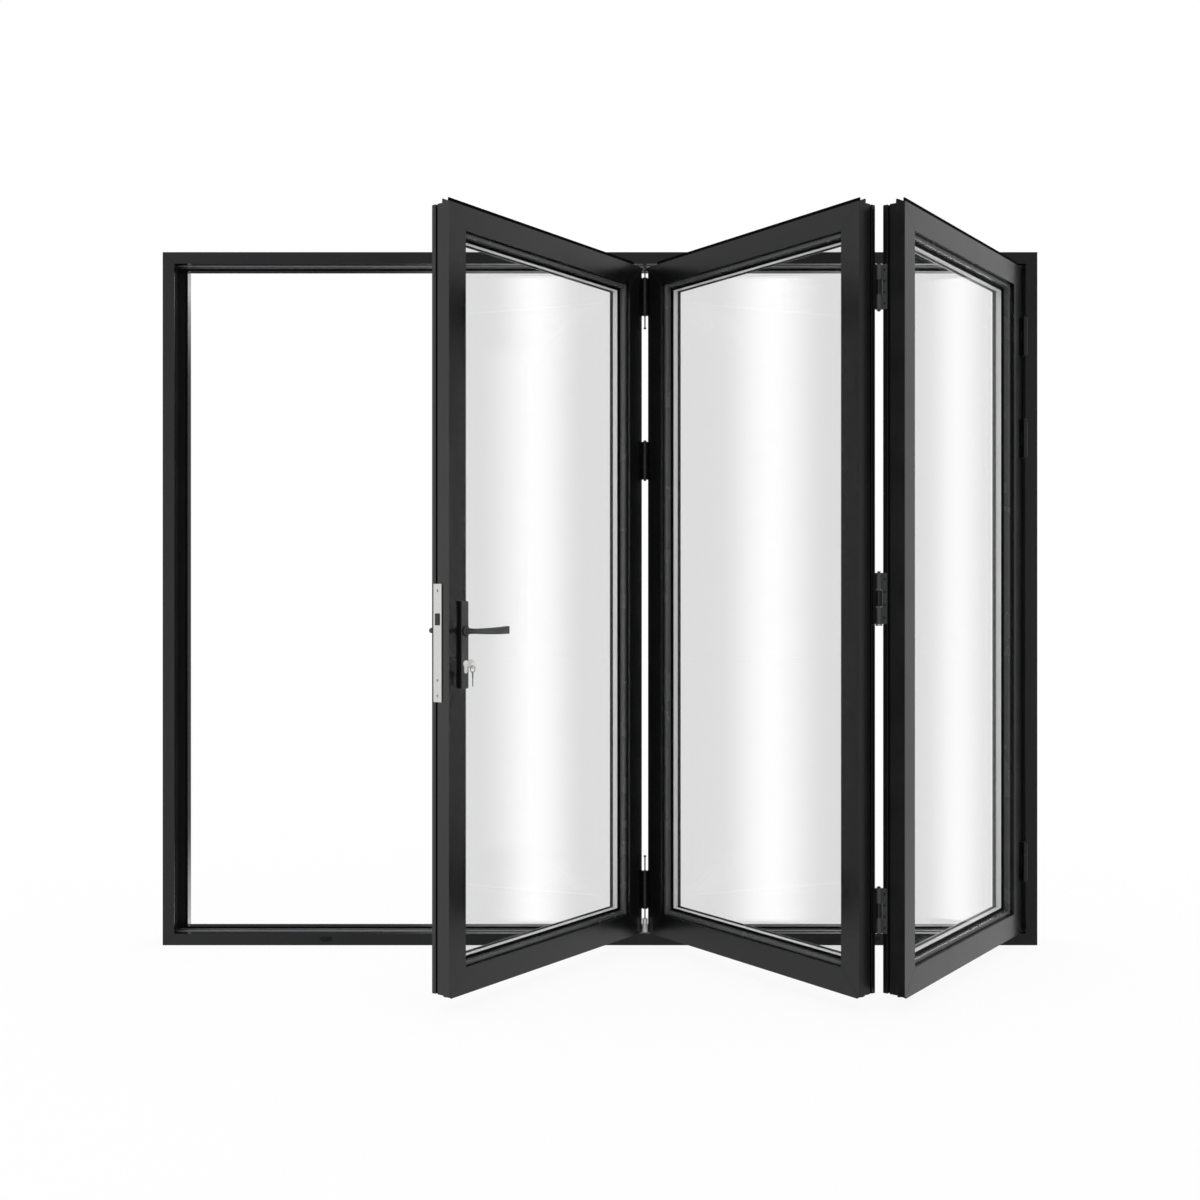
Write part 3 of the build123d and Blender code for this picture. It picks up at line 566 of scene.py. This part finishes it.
@dataclass
class SubAssembly:
    """Nodes of one group of pieces, the plan they stand on, and how their edges are rounded."""

    nodes: dict[str, bpy.types.Object]
    plan: FoldPlan
    weld_mm: float = 0.01
    flat_degrees: float = 0.5
    sharp_degrees: float = 35.0
    smooth_degrees: float = 40.0
    edge_steps: int = 2

    def dress(self, finish: Finish, *names: str) -> None:
        """Give nodes their finish.

        Args:
            finish: The finish.
            *names: Names of the nodes.
        """
        for name in names:
            mesh = self.nodes[name].data
            mesh.materials.clear()
            mesh.materials.append(material_of(finish))
        LOG.info("%s on %s", finish.name, ", ".join(names))

    def soften(self, width_mm: float, *names: str) -> None:
        """Round the sharp edges of nodes, as an extrusion die or a mould leaves them.

        Args:
            width_mm: Width of the rounding.
            *names: Names of the nodes.
        """
        for name in names:
            node = self.nodes[name]
            weld = node.modifiers.new("weld", "WELD")
            weld.merge_threshold = self.weld_mm * MM
            flat = node.modifiers.new("flat", "DECIMATE")
            flat.decimate_type = "DISSOLVE"
            flat.angle_limit = math.radians(self.flat_degrees)
            edge = node.modifiers.new("edge", "BEVEL")
            edge.width = width_mm * MM
            edge.segments = self.edge_steps
            edge.limit_method = "ANGLE"
            edge.angle_limit = math.radians(self.sharp_degrees)
            edge.harden_normals = True

    def fit(self, form: Form, name: str, body: Body, finish: Finish, slot: Slot) -> None:
        """End a new piece and fasten it to a body.

        Args:
            form: Its mesh.
            name: Its name.
            body: Body that it rides on.
            finish: Its finish.
            slot: Record's slot of that finish; not used.
        """
        piece = form.finish(name)
        piece.data.materials.append(material_of(finish))
        piece.data.shade_smooth()
        piece.data.set_sharp_from_angle(angle=math.radians(self.smooth_degrees))
        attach(piece, body.value)
        LOG.info("%s: %d faces on %s", name, len(piece.data.polygons), body.value)


@dataclass(frozen=True)
class Screw:
    """Low raised countersunk screw with a cross recess, in millimetres."""

    head_radius: float
    rise: float = 0.45
    sunk: float = 0.3
    recess_reach: float = 0.62
    recess_width: float = 0.2

    def cross(self, angle: float) -> float:
        """Shape the recess, two crossed slots.

        Args:
            angle: Angle round the screw.

        Returns:
            The recess's radius there.
        """
        slot = self.recess_width * self.head_radius
        steepest = max(slot / max(abs(math.sin(angle)), 0.01), slot / max(abs(math.cos(angle)), 0.01))
        return min(self.recess_reach * self.head_radius, steepest)

    def set_in(self, form: Form, place: Matrix) -> None:
        """Set one screw into a form, on its seat."""
        form.turned(place, [(self.head_radius, -self.sunk), (self.head_radius, self.rise * 0.4),
                            (self.head_radius * 0.9, self.rise * 0.85), (self.head_radius * 0.72, self.rise),
                            (self.cross, self.rise), (self.cross, 0.05)])


@dataclass(frozen=True)
class FlatKey:
    """Flat key with a round bow and a notched blade, in millimetres."""

    bow_radius: float = 9.5
    bow_steps: int = 24
    blade_length: float = 19.0
    blade_half: float = 3.2
    tip_length: float = 3.0
    tip_inset: float = 2.0
    first_notch: float = 2.5
    notch_pitch: float = 4.0
    notch_count: int = 4
    notch_half: float = 1.4
    notch_depth: float = 1.1
    thickness: float = 2.0

    def outline(self) -> list[tuple[float, float]]:
        """Draw the key's edge.

        Returns:
            Its points, round the middle of the bow.
        """
        radius, half = self.bow_radius, self.blade_half
        shoulder = math.asin(half / radius)
        points = []
        for index in range(self.bow_steps + 1):
            angle = -math.pi / 2 + shoulder + 2 * (math.pi - shoulder) * index / self.bow_steps
            points.append((radius * math.cos(angle), radius * math.sin(angle)))
        tip = -radius - self.blade_length
        points += [(-half, tip + self.tip_length), (-half + self.tip_inset, tip), (half - self.tip_inset, tip)]
        for index in range(self.notch_count):
            level = tip + self.first_notch + index * self.notch_pitch
            points += [(half, level), (half - self.notch_depth, level + self.notch_half),
                       (half, level + 2 * self.notch_half)]
        return points


@dataclass
class OuterFrame(SubAssembly):
    """Head, sill, jambs, track rails, stop seals and drain covers."""

    def build(self) -> None:
        """Dress the fixed frame."""
        bars = ("frame_head", "frame_sill", "frame_lock_jamb", "frame_hinge_jamb")
        self.dress(ANTHRACITE_COAT, *bars)
        self.soften(0.8, *bars)
        self.dress(ANODISED_TRACK, "head_track_rail", "sill_track_rail")
        self.soften(0.4, "head_track_rail", "sill_track_rail")
        self.dress(EPDM_RUBBER, "frame_stop_seals")
        self.dress(MOULDED_NYLON, "drain_covers")
        self.soften(0.5, "drain_covers")


@dataclass
class Leaves(SubAssembly):
    """The fixed folding pair and the access leaf."""

    metal_low: float = 44.5
    metal_top: float = 2052.0
    # Section of the edge gasket: how far it lies inside the edge, and how deep behind the face
    gasket_section: tuple[tuple[float, float], ...] = (
        (7.8, 41.2), (2.8, 41.2), (2.4, 41.9), (2.8, 42.8), (5.2, 43.4),
        (5.2, 45.1), (2.8, 45.7), (2.4, 46.6), (2.8, 47.3), (7.8, 47.3))
    # Section of the bright foil on the spacer between the panes, with its rolled middle bead
    spacer_section: tuple[tuple[float, float], ...] = (
        (79.0, 34.1), (80.4, 34.1), (80.6, 34.8), (80.6, 40.8), (80.9, 41.4), (80.9, 42.6),
        (80.6, 43.2), (80.6, 49.2), (80.4, 49.9), (79.0, 49.9))

    def build(self) -> None:
        """Dress all three leaves and lay the gaskets in their edges."""
        bars = [f"{leaf}_{bar}" for leaf in ("access_leaf", "middle_leaf", "end_leaf")
                for bar in ("hinge_stile", "free_stile", "top_rail", "bottom_rail")]
        self.dress(ANTHRACITE_COAT, *bars)
        # The beads' lighter coat is partly a painted highlight for the bright line along their undersides
        self.dress(BEAD_COAT_AND_HIGHLIGHT, "access_leaf_beads", "fold_pair_beads")
        self.soften(0.8, *bars)
        for group in ("access_leaf", "fold_pair"):
            self.dress(EPDM_RUBBER, f"{group}_glazing_seals")
            self.dress(BRUSH_PILE, f"{group}_top_seal")
            self.dress(GREY_FLOAT_GLASS, f"{group}_glass")
        for leaf in (self.plan.access, self.plan.middle, self.plan.end):
            gasket = self.mitred(leaf, self.gasket_section)
            self.fit(gasket, f"{leaf.name}_edge_gasket", leaf.body, EPDM_RUBBER, Slot.SEAL_RUBBER)
            spacer = self.mitred(leaf, self.spacer_section)
            self.fit(spacer, f"{leaf.name}_spacer_foil", leaf.body, MILL_ALUMINIUM, Slot.TRACK_ALUMINIUM)

    def mitred(self, leaf: LeafPlane, section: tuple[tuple[float, float], ...]) -> Form:
        """Lay a strip round a leaf, mitred at the corners.

        Args:
            leaf: The leaf.
            section: Points of its section, as inset from the leaf's edge and depth behind its face.

        Returns:
            The strip's mesh.
        """
        left, right = leaf.limits
        corners = ((left, 1, self.metal_low, 1), (right, -1, self.metal_low, 1),
                   (right, -1, self.metal_top, -1), (left, 1, self.metal_top, -1))
        form = Form()
        form.skin([[leaf.point(x + inward * inset, z + upward * inset, -depth) for inset, depth in section]
                   for x, inward, z, upward in corners], round_trip=True)
        return form


@dataclass
class Hinges(SubAssembly):
    """Hinge wings with their screws, pins, the head carriage and the sill guide."""

    screws_per_wing: int = 4
    screw_radius: float = 3.1
    face_gap: float = 0.625
    jamb_face_gap: float = 3.125
    wing_screw_depth: float = 15.0
    apex_screw_depth: float = 53.5
    jamb_hinges: tuple[tuple[float, float], ...] = ((199, 313), (1477, 1591), (1785, 1899))
    apex_hinges: tuple[tuple[float, float], ...] = ((199, 313), (985, 1115), (1785, 1899))
    track_hinges: tuple[tuple[float, float], ...] = ((114, 228), (1410, 1524), (1905, 2019))
    washer_radius: float = 8.7
    washer_height: float = 4.6
    washer_bore: float = 4.3

    def build(self) -> None:
        """Dress the hinges and what carries the fold, and set the screws."""
        wings = ("jamb_hinge_frame_wings", "jamb_hinge_leaf_wings", "apex_hinge_middle_wings",
                 "track_hinge_middle_wings", "track_hinge_access_wings")
        self.dress(HINGE_COAT, *wings, "hinge_pins")
        # The end wings' paler coat is painted light; the middle wings of the same hinges stay black
        self.dress(APEX_WING_COAT_PAINTED_LIGHT, "apex_hinge_end_wings")
        self.dress(BLACKED_STEEL, "head_carriage")
        self.dress(BRIGHT_ZINC, "sill_guide")
        self.soften(0.4, "head_carriage", "sill_guide")
        self.dress(MOULDED_NYLON, "carriage_wheels", "sill_guide_roller")
        plan = self.plan
        for edge, leaf, facing, hinges, depth in (
                ("jamb_leaf", plan.end, 1, self.jamb_hinges, self.wing_screw_depth),
                ("apex_end", plan.end, -1, self.apex_hinges, self.apex_screw_depth),
                ("apex_middle", plan.middle, 1, self.apex_hinges, self.apex_screw_depth),
                ("track_middle", plan.middle, -1, self.track_hinges, self.wing_screw_depth),
                ("track_access", plan.access, 1, self.track_hinges, self.wing_screw_depth)):
            self.set_screws(f"{edge}_screws", leaf, facing, hinges, depth)
        self.set_jamb_screws()
        self.lay_washer()

    def heights(self, hinges: tuple[tuple[float, float], ...]) -> list[float]:
        """Give the screws' heights on hinges that are given by their lower and upper ends."""
        parts = self.screws_per_wing
        return [low + (high - low) * (index + 0.5) / parts for low, high in hinges for index in range(parts)]

    def set_screws(self, name: str, leaf: LeafPlane, facing: int, hinges: tuple[tuple[float, float], ...],
                   depth: float) -> None:
        """Set the screws of the wings on one edge of a leaf.

        Args:
            name: Name of the joined screws.
            leaf: The leaf.
            facing: 1 where the edge faces along the leaf's own direction, otherwise -1.
            hinges: Lower and upper end of each hinge.
            depth: How deep behind the leaf's face the screws lie.
        """
        left, right = leaf.limits
        edge = (right if facing > 0 else left) + facing * (leaf.edge - self.face_gap)
        form = Form()
        for height in self.heights(hinges):
            place = seat(leaf.point(edge, height, -depth), UP, leaf.along * facing)
            Screw(self.screw_radius).set_in(form, place)
        self.fit(form, name, leaf.body, BLACKED_STEEL, Slot.HINGE_PAINT)

    def set_jamb_screws(self) -> None:
        """Set the screws that hold the jamb's own wings."""
        form = Form()
        x, y = self.plan.jamb_pivot
        for height in self.heights(self.jamb_hinges):
            foot = Vector((x + self.jamb_face_gap, y + self.plan.end.pivot_proud + self.wing_screw_depth, height))
            Screw(self.screw_radius).set_in(form, seat(foot, UP, Vector((-1.0, 0.0, 0.0))))
        self.fit(form, "jamb_frame_screws", Body.FRAME, BLACKED_STEEL, Slot.HINGE_PAINT)

    def lay_washer(self) -> None:
        """Lay the bright washer under the middle apex hinge, round the head of its pin."""
        low = self.apex_hinges[1][0] - self.washer_height - 0.2
        form = Form()
        form.collar(Matrix.Translation((*self.plan.apex_pivot, low)), self.washer_bore, self.washer_radius,
                    self.washer_height)
        self.fit(form, "apex_hinge_washer", Body.FRAME, TURNED_STEEL, Slot.STEEL)


@dataclass
class LockFurniture(SubAssembly):
    """Plates with their moulded bases, cylinder, keys, faceplate with its screws, latch and levers."""

    plate_x: float = -803.125
    plate_width: float = 26.0
    plate_low: float = 821.0
    plate_high: float = 1043.0
    plate_round: float = 3.0
    plate_proud: float = 10.0
    leaf_depth: float = 60.0
    base_margin: float = 0.4
    base_height: float = 8.2
    base_lap: float = 0.05
    cylinder_z: float = 884.0
    key_hole_outward: float = 35.0
    key_hole_radius: float = 4.0
    key_ring_radius: float = 9.0
    key_ring_wire: float = 0.6
    key_ring_turns: int = 2
    key_ring_steps: int = 48
    key_hole_inset: float = 2.5
    second_key_across: tuple[float, float, float] = (-0.2, 0.98, 0.0)
    faceplate_screws: tuple[float, ...] = (803.3, 842.5, 1069.3)
    faceplate_depth: float = 38.5
    faceplate_face: float = -854.625
    plate_screws: tuple[float, ...] = (836.0, 1030.0)
    lever_z: float = 967.0
    rose_bore: float = 11.9
    rose_radius: float = 12.9
    rose_height: float = 5.0

    def build(self) -> None:
        """Dress the lock and add what hangs and holds on it."""
        self.dress(PLATE_COAT, "lock_backplates", "outer_lever", "inner_lever")
        self.dress(BRUSHED_STEEL, "lock_faceplate", "lever_spindle")
        # The cylinder's and key's near-white base is partly a painted reflection of the white room
        self.dress(NICKEL_AND_REFLECTION, "lock_cylinder", "key")
        self.dress(BLACKED_STEEL, "latch_bolt")
        self.soften(0.3, "lock_faceplate", "key")
        self.lay_plate_bases()
        self.lay_roses()
        self.set_screws()
        self.hang_key_ring()

    def lay_plate_bases(self) -> None:
        """Lay the black moulded base that shows round the sides of each plate."""
        leaf = self.plan.access
        form = Form()
        for foot, outward in ((0.0, 1), (-self.leaf_depth, -1)):
            rings = []
            for margin, rise in ((self.base_margin, 0.0), (self.base_margin, self.base_height),
                                 (-self.base_lap, self.base_height), (-self.base_lap, 0.0)):
                ring = [leaf.point(x, z, foot + outward * rise) for x, z in self.plate_edge(margin)]
                rings.append(ring)
            form.skin(rings, round_trip=True)
        self.fit(form, "lock_plate_bases", leaf.body, MOULDED_NYLON, Slot.COVER_PLASTIC)

    def lay_roses(self) -> None:
        """Lay the black collar in which each lever's hub turns."""
        leaf = self.plan.access
        form = Form()
        for foot, outward in ((self.plate_proud, leaf.outward),
                              (-self.leaf_depth - self.plate_proud, -leaf.outward)):
            place = seat(leaf.point(self.plate_x, self.lever_z, foot), UP, outward)
            form.collar(place, self.rose_bore, self.rose_radius, self.rose_height)
        self.fit(form, "lever_roses", leaf.body, MOULDED_NYLON, Slot.COVER_PLASTIC)

    def plate_edge(self, margin: float, steps: int = 6) -> list[tuple[float, float]]:
        """Draw a plate's rounded edge.

        Args:
            margin: Distance outside the plate.
            steps: Points on each corner.

        Returns:
            Its points along the leaf and up.
        """
        middle = (self.plate_low + self.plate_high) / 2
        half_width = self.plate_width / 2 - self.plate_round
        half_height = (self.plate_high - self.plate_low) / 2 - self.plate_round
        radius = self.plate_round + margin
        points = []
        for corner, (right, up) in enumerate(((1, 1), (-1, 1), (-1, -1), (1, -1))):
            for index in range(steps):
                angle = math.pi / 2 * (corner + index / (steps - 1))
                points.append((self.plate_x + right * half_width + radius * math.cos(angle),
                               middle + up * half_height + radius * math.sin(angle)))
        return points

    def set_screws(self) -> None:
        """Set the faceplate's bright screws and the two that draw the inner plate tight."""
        leaf = self.plan.access
        form = Form()
        for height in self.faceplate_screws:
            Screw(3.4, rise=0.25).set_in(form, seat(leaf.point(self.faceplate_face, height, -self.faceplate_depth),
                                                    UP, -leaf.along))
        # Their darker zinc grey is partly painted shade, standing in for the shade in their recesses
        self.fit(form, "lock_faceplate_screws", leaf.body, ZINC_STEEL, Slot.STEEL)
        form = Form()
        for height in self.plate_screws:
            Screw(3.8).set_in(form, seat(leaf.point(self.plate_x, height, -self.leaf_depth - self.plate_proud),
                                         UP, -leaf.outward))
        self.fit(form, "lock_inner_plate_screws", leaf.body, BLACKED_STEEL, Slot.HINGE_PAINT)

    def hang_key_ring(self) -> None:
        """Hang a split ring with a second key in the key's bow."""
        leaf = self.plan.access
        turns, steps = self.key_ring_turns, self.key_ring_steps
        top = self.cylinder_z - self.key_hole_radius + self.key_ring_wire
        path = []
        for index in range(turns * steps + 1):
            angle = 2 * math.pi * index / steps
            shift = (index / (turns * steps) - 0.5) * 2 * self.key_ring_wire * turns
            path.append(leaf.point(self.plate_x + self.key_ring_radius * math.sin(angle),
                                   top - self.key_ring_radius * (1 - math.cos(angle)),
                                   self.key_hole_outward + shift))
        form = Form()
        form.wire(path, self.key_ring_wire)
        self.fit(form, "key_ring", leaf.body, ZINC_STEEL, Slot.STEEL)
        self.hang_second_key(top - 2 * self.key_ring_radius)

    def hang_second_key(self, ring_low: float) -> None:
        """Hang the second key from the ring, nearly edge on to a viewer outside.

        Args:
            ring_low: Height of the ring's lowest point.
        """
        key = FlatKey()
        leaf = self.plan.access
        middle = leaf.point(self.plate_x, ring_low - key.bow_radius + self.key_hole_inset, self.key_hole_outward)
        across = Vector(self.second_key_across).normalized()
        form = Form()
        form.plate(Matrix.Translation(middle) @ Matrix((across, UP, across.cross(UP))).transposed().to_4x4(),
                   key.outline(), key.thickness)
        self.fit(form, "second_key", leaf.body, ZINC_STEEL, Slot.STEEL)


@dataclass(frozen=True)
class Screen:
    """Stretch of a line that is lit, and fades out on both sides.

    Along the horizon, bearing 0 looks from the door to the camera, 90 past the hinge jamb and -90 past
    the lock jamb.
    """

    middle: float
    half_width: float
    fade: float
    level: float


@dataclass(frozen=True)
class StripLight:
    """Soft strip light, in metres, that one pane mirrors as an upright bright band."""

    name: str
    place: tuple[float, float]
    facing: tuple[float, float]
    width: float
    low: float
    high: float
    level: float


@dataclass(frozen=True)
class Studio:
    """White room: floor, world, and the lights that the coat and the glass mirror."""

    panes: tuple[bpy.types.Object, ...]
    floor_side: float = 40.0
    floor_colour: str = "#E6E6E6"
    shadow_share: float = 0.1
    plain_level: float = 1.0
    # Level that the satin coat mirrors, by bearing
    coat_levels: tuple[tuple[float, float], ...] = (
        (-180, 0.03), (-150, 0.04), (-118, 0.62), (-99, 0.66), (-92, 0.8), (-85, 0.95), (-79, 0.95), (-75, 1.5),
        (-71, 1.5), (-67, 0.2), (-63, 0.0), (-54, 0.0), (-40, 0.45), (-20, 0.89), (-13, 0.47), (0, 0.45),
        (18, 0.35), (62, 0.4), (71, 0.45), (76, 0.6), (82, 0.5), (92, 0.6), (101, 0.7), (106, 1.06),
        (113, 0.8), (118, 0.42), (121, 0.6), (125, 0.85), (140, 0.5), (152, 0.06), (180, 0.03))
    # The room is a little lighter round the horizon
    horizon_gain: float = 1.25
    horizon_reach: tuple[float, float] = (4.0, 14.0)
    steep_level: float = 0.9
    steep_from: float = 42.0
    # Lighter patches, each a stretch of bearings and one of angles over and under the horizon: what the
    # access leaf's stile mirrors through the fold, the end leaf's rails, the jambs' inner sides, and the
    # beads' undersides
    patches: tuple[tuple[Screen, Screen], ...] = (
        (Screen(101.0, 6.0, 3.0, 0.65), Screen(0.0, 9.0, 3.0, 1.0)),
        (Screen(122.0, 8.0, 4.0, 0.32), Screen(16.0, 5.0, 3.0, 1.0)),
        (Screen(-164.0, 10.0, 4.0, 0.3), Screen(0.0, 9.0, 3.0, 1.0)),
        (Screen(164.0, 10.0, 4.0, 0.15), Screen(0.0, 9.0, 3.0, 1.0)),
        (Screen(162.0, 7.0, 3.0, 3.5), Screen(15.5, 4.0, 1.5, 1.0)),
        (Screen(-177.0, 3.0, 1.5, 1.8), Screen(15.5, 4.0, 1.5, 1.0)),
        (Screen(174.0, 4.0, 2.0, 0.8), Screen(15.5, 4.0, 1.5, 1.0)))
    # The glass mirrors a dark room with one strip light for each leaf
    dark_level: float = 0.02
    strips: tuple[StripLight, ...] = (
        StripLight("strip_access_leaf", (0.084, -0.340), (-0.9684, -0.2496), 0.276, 0.092, 2.004, 2.7),
        StripLight("strip_middle_leaf", (0.187, -0.386), (0.9864, -0.1646), 0.334, 0.097, 2.0, 3.1),
        StripLight("strip_end_leaf", (1.323, -0.163), (-0.8525, -0.5229), 0.215, 0.064, 2.034, 0.98))

    def build(self) -> None:
        """Set up the floor, the strip lights and the world."""
        self.make_floor()
        panes = bpy.data.collections.new("panes")
        for pane in self.panes:
            panes.objects.link(pane)
        for strip in self.strips:
            self.hang_strip(strip, panes)
        self.make_world()

    def stage(self, name: str, corners: list[tuple[float, float, float]],
              material: bpy.types.Material) -> bpy.types.Object:
        """Stand one flat piece of the studio.

        Args:
            name: Its name.
            corners: Its four corners, in metres.
            material: Its material.

        Returns:
            The piece.
        """
        mesh = bpy.data.meshes.new(name)
        mesh.from_pydata(corners, [], [(0, 1, 2, 3)])
        mesh.materials.append(material)
        piece = bpy.data.objects.new(name, mesh)
        bpy.context.scene.collection.objects.link(piece)
        return piece

    def make_floor(self) -> None:
        """Lay a pale floor that is white to the camera and keeps a faint shadow of the door."""
        material, tree = new_material("pale_floor")
        paint = add_node(tree, "BsdfDiffuse", {"Color": linear(self.floor_colour)})
        share = self.shadow_share
        shade = add_node(tree, "BsdfDiffuse", {"Color": (share, share, share, 1.0)})
        glow = add_node(tree, "Emission", {"Color": linear("#FFFFFF"), "Strength": 1.0 - share})
        seen = add_node(tree, "AddShader", links={0: shade.outputs["BSDF"], 1: glow.outputs["Emission"]})
        path = add_node(tree, "LightPath")
        shader = add_node(tree, "MixShader", links={0: path.outputs["Is Camera Ray"], 1: paint.outputs["BSDF"],
                                                    2: seen.outputs["Shader"]})
        add_node(tree, "OutputMaterial", links={"Surface": shader.outputs["Shader"]})
        half = self.floor_side / 2
        floor = self.stage("floor", [(-half, -half, 0.0), (half, -half, 0.0), (half, half, 0.0),
                                     (-half, half, 0.0)], material)
        floor.visible_glossy = False

    def hang_strip(self, strip: StripLight, panes: bpy.types.Collection) -> None:
        """Hang a soft strip light that only the panes mirror, and only from its front.

        Args:
            strip: The light.
            panes: Collection of the glass, which alone receives it.
        """
        lamp = bpy.data.lights.new(strip.name, "AREA")
        lamp.shape = "RECTANGLE"
        lamp.size = strip.width
        lamp.size_y = strip.high - strip.low
        # These watts give the face a brightness of 1, which the nodes then scale
        lamp.energy = math.pi * lamp.size * lamp.size_y
        lamp.use_nodes = True
        tree = lamp.node_tree
        tree.nodes.clear()
        place = add_node(tree, "SeparateXYZ", links={"Vector": add_node(tree, "NewGeometry").outputs["Parametric"]})
        glow = self.window(tree, place.outputs["X"], Screen(0.5, 0.25, 0.25, strip.level))
        shine = add_node(tree, "Emission", links={"Strength": glow})
        add_node(tree, "OutputLight", links={"Surface": shine.outputs["Emission"]})
        light = bpy.data.objects.new(strip.name, lamp)
        facing = Vector((*strip.facing, 0.0)).normalized()
        middle = Vector((*strip.place, (strip.low + strip.high) / 2))
        light.matrix_world = Matrix.Translation(middle) @ Matrix(
            (facing.cross(UP), UP, -facing)).transposed().to_4x4()
        light.visible_camera = False
        light.visible_diffuse = False
        light.visible_transmission = False
        light.light_linking.receiver_collection = panes
        bpy.context.scene.collection.objects.link(light)

    def window(self, tree: bpy.types.NodeTree, place: bpy.types.NodeSocket,
               screen: Screen) -> bpy.types.NodeSocket:
        """Light one stretch of a line and fade it out on both sides.

        Args:
            tree: Node tree.
            place: Socket of the place on the line.
            screen: The stretch, in the place's own units.

        Returns:
            The level's socket.
        """
        off = add_node(tree, "Math", {1: screen.middle}, {0: place}, operation="SUBTRACT")
        far = add_node(tree, "Math", links={0: off.outputs["Value"]}, operation="ABSOLUTE")
        edges = {"From Min": screen.half_width + screen.fade, "From Max": screen.half_width - screen.fade,
                 "To Min": 0.0, "To Max": screen.level}
        lit = add_node(tree, "MapRange", edges, {"Value": far.outputs["Value"]}, interpolation_type="SMOOTHSTEP")
        return lit.outputs["Result"]

    def coat_light(self, tree: bpy.types.NodeTree, bearing: bpy.types.NodeSocket,
                   steepness: bpy.types.NodeSocket) -> bpy.types.NodeSocket:
        """Give what the coat and the metals mirror in a direction.

        Args:
            tree: The world's node tree.
            bearing: Bearing of the direction in degrees.
            steepness: Its angle over or under the horizon in degrees.

        Returns:
            The level's socket.
        """
        peak = max(level for _, level in self.coat_levels)
        round_trip = add_node(tree, "MapRange", {"From Min": -180.0, "From Max": 180.0}, {"Value": bearing})
        ramp = add_node(tree, "ValToRGB", links={"Fac": round_trip.outputs["Result"]})
        stops = ramp.color_ramp.elements
        while len(stops) < len(self.coat_levels):
            stops.new(0.5)
        for stop, (angle, level) in zip(stops, self.coat_levels):
            stop.position = (angle + 180) / 360
            stop.color = (level / peak, level / peak, level / peak, 1.0)
        near, far = self.horizon_reach
        gain = add_node(tree, "MapRange", {"From Min": near, "From Max": far, "To Min": peak * self.horizon_gain,
                                           "To Max": peak}, {"Value": steepness}, interpolation_type="SMOOTHSTEP")
        level = add_node(tree, "Math", links={0: ramp.outputs["Color"], 1: gain.outputs["Result"]},
                         operation="MULTIPLY")
        steep = {"From Min": self.steep_from - 6, "From Max": self.steep_from + 6}
        share = add_node(tree, "MapRange", steep, {"Value": steepness}, interpolation_type="SMOOTHSTEP")
        whole = add_node(tree, "Mix", {"B": self.steep_level},
                         {"Factor": share.outputs["Result"], "A": level.outputs["Value"]}).outputs["Result"]
        for across, upright in self.patches:
            patch = add_node(tree, "Math", links={0: self.window(tree, bearing, across),
                                                  1: self.window(tree, steepness, upright), 2: whole},
                             operation="MULTIPLY_ADD")
            whole = patch.outputs["Value"]
        return whole

    def make_world(self) -> None:
        """Light the door evenly, with screens and strips for what is mirrored."""
        world = bpy.data.worlds.new("white_room")
        world.use_nodes = True
        tree = world.node_tree
        tree.nodes.clear()
        side = add_node(tree, "SeparateXYZ", links={"Vector": add_node(tree, "TexCoord").outputs["Generated"]})
        toward = add_node(tree, "Math", {1: -1.0}, {0: side.outputs["Y"]}, operation="MULTIPLY")
        turn = add_node(tree, "Math", links={0: side.outputs["X"], 1: toward.outputs["Value"]}, operation="ARCTAN2")
        bearing = add_node(tree, "Math", links={0: turn.outputs["Value"]}, operation="DEGREES")
        rise = add_node(tree, "Math", links={0: side.outputs["Z"]}, operation="ARCSINE")
        angle = add_node(tree, "Math", links={0: rise.outputs["Value"]}, operation="DEGREES")
        steepness = add_node(tree, "Math", links={0: angle.outputs["Value"]}, operation="ABSOLUTE")
        coat = self.coat_light(tree, bearing.outputs["Value"], steepness.outputs["Value"])
        path = add_node(tree, "LightPath")
        level = add_node(tree, "Mix", {"A": self.plain_level}, {"Factor": path.outputs["Is Glossy Ray"], "B": coat})
        level = add_node(tree, "Mix", {"B": self.dark_level},
                         {"Factor": path.outputs["Is Singular Ray"], "A": level.outputs["Result"]})
        level = add_node(tree, "Mix", {"B": 1.0}, {"Factor": path.outputs["Is Camera Ray"],
                                                   "A": level.outputs["Result"]})
        room = add_node(tree, "Background", {"Color": linear("#FFFFFF")}, {"Strength": level.outputs["Result"]})
        add_node(tree, "OutputWorld", links={"Surface": room.outputs["Background"]})
        bpy.context.scene.world = world


@dataclass(frozen=True)
class ViewCamera:
    """Camera of the picture: level, square on to the frame and at eye height of a seated person."""

    distance: float = 4.119
    height: float = 1.046
    lens: float = 40.3

    def build(self) -> None:
        """Place the camera."""
        data = bpy.data.cameras.new("camera")
        data.lens = self.lens
        data.sensor_width = 36.0
        camera = bpy.data.objects.new("camera", data)
        camera.matrix_world = Matrix.Translation((0.0, -self.distance, self.height)) @ Matrix.Rotation(
            math.radians(90), 4, "X")
        bpy.context.scene.collection.objects.link(camera)
        bpy.context.scene.camera = camera


def main() -> None:
    """Load the frame, dress every sub-assembly and set up the room and the camera."""
    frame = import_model()
    bpy.context.scene.view_settings.view_transform = "Standard"
    bpy.context.scene.cycles.transparent_max_bounces = CLEAR_FACES
    for assembly in (OuterFrame, Leaves, Hinges, LockFurniture):
        assembly(frame["nodes"], FoldPlan()).build()
        LOG.info("built %s", assembly.__name__)
    Studio(tuple(frame["nodes"][name] for name in ("access_leaf_glass", "fold_pair_glass"))).build()
    ViewCamera().build()


if __name__ == "__main__":
    logging.basicConfig(level=logging.INFO, format="%(name)s: %(message)s")
    main()
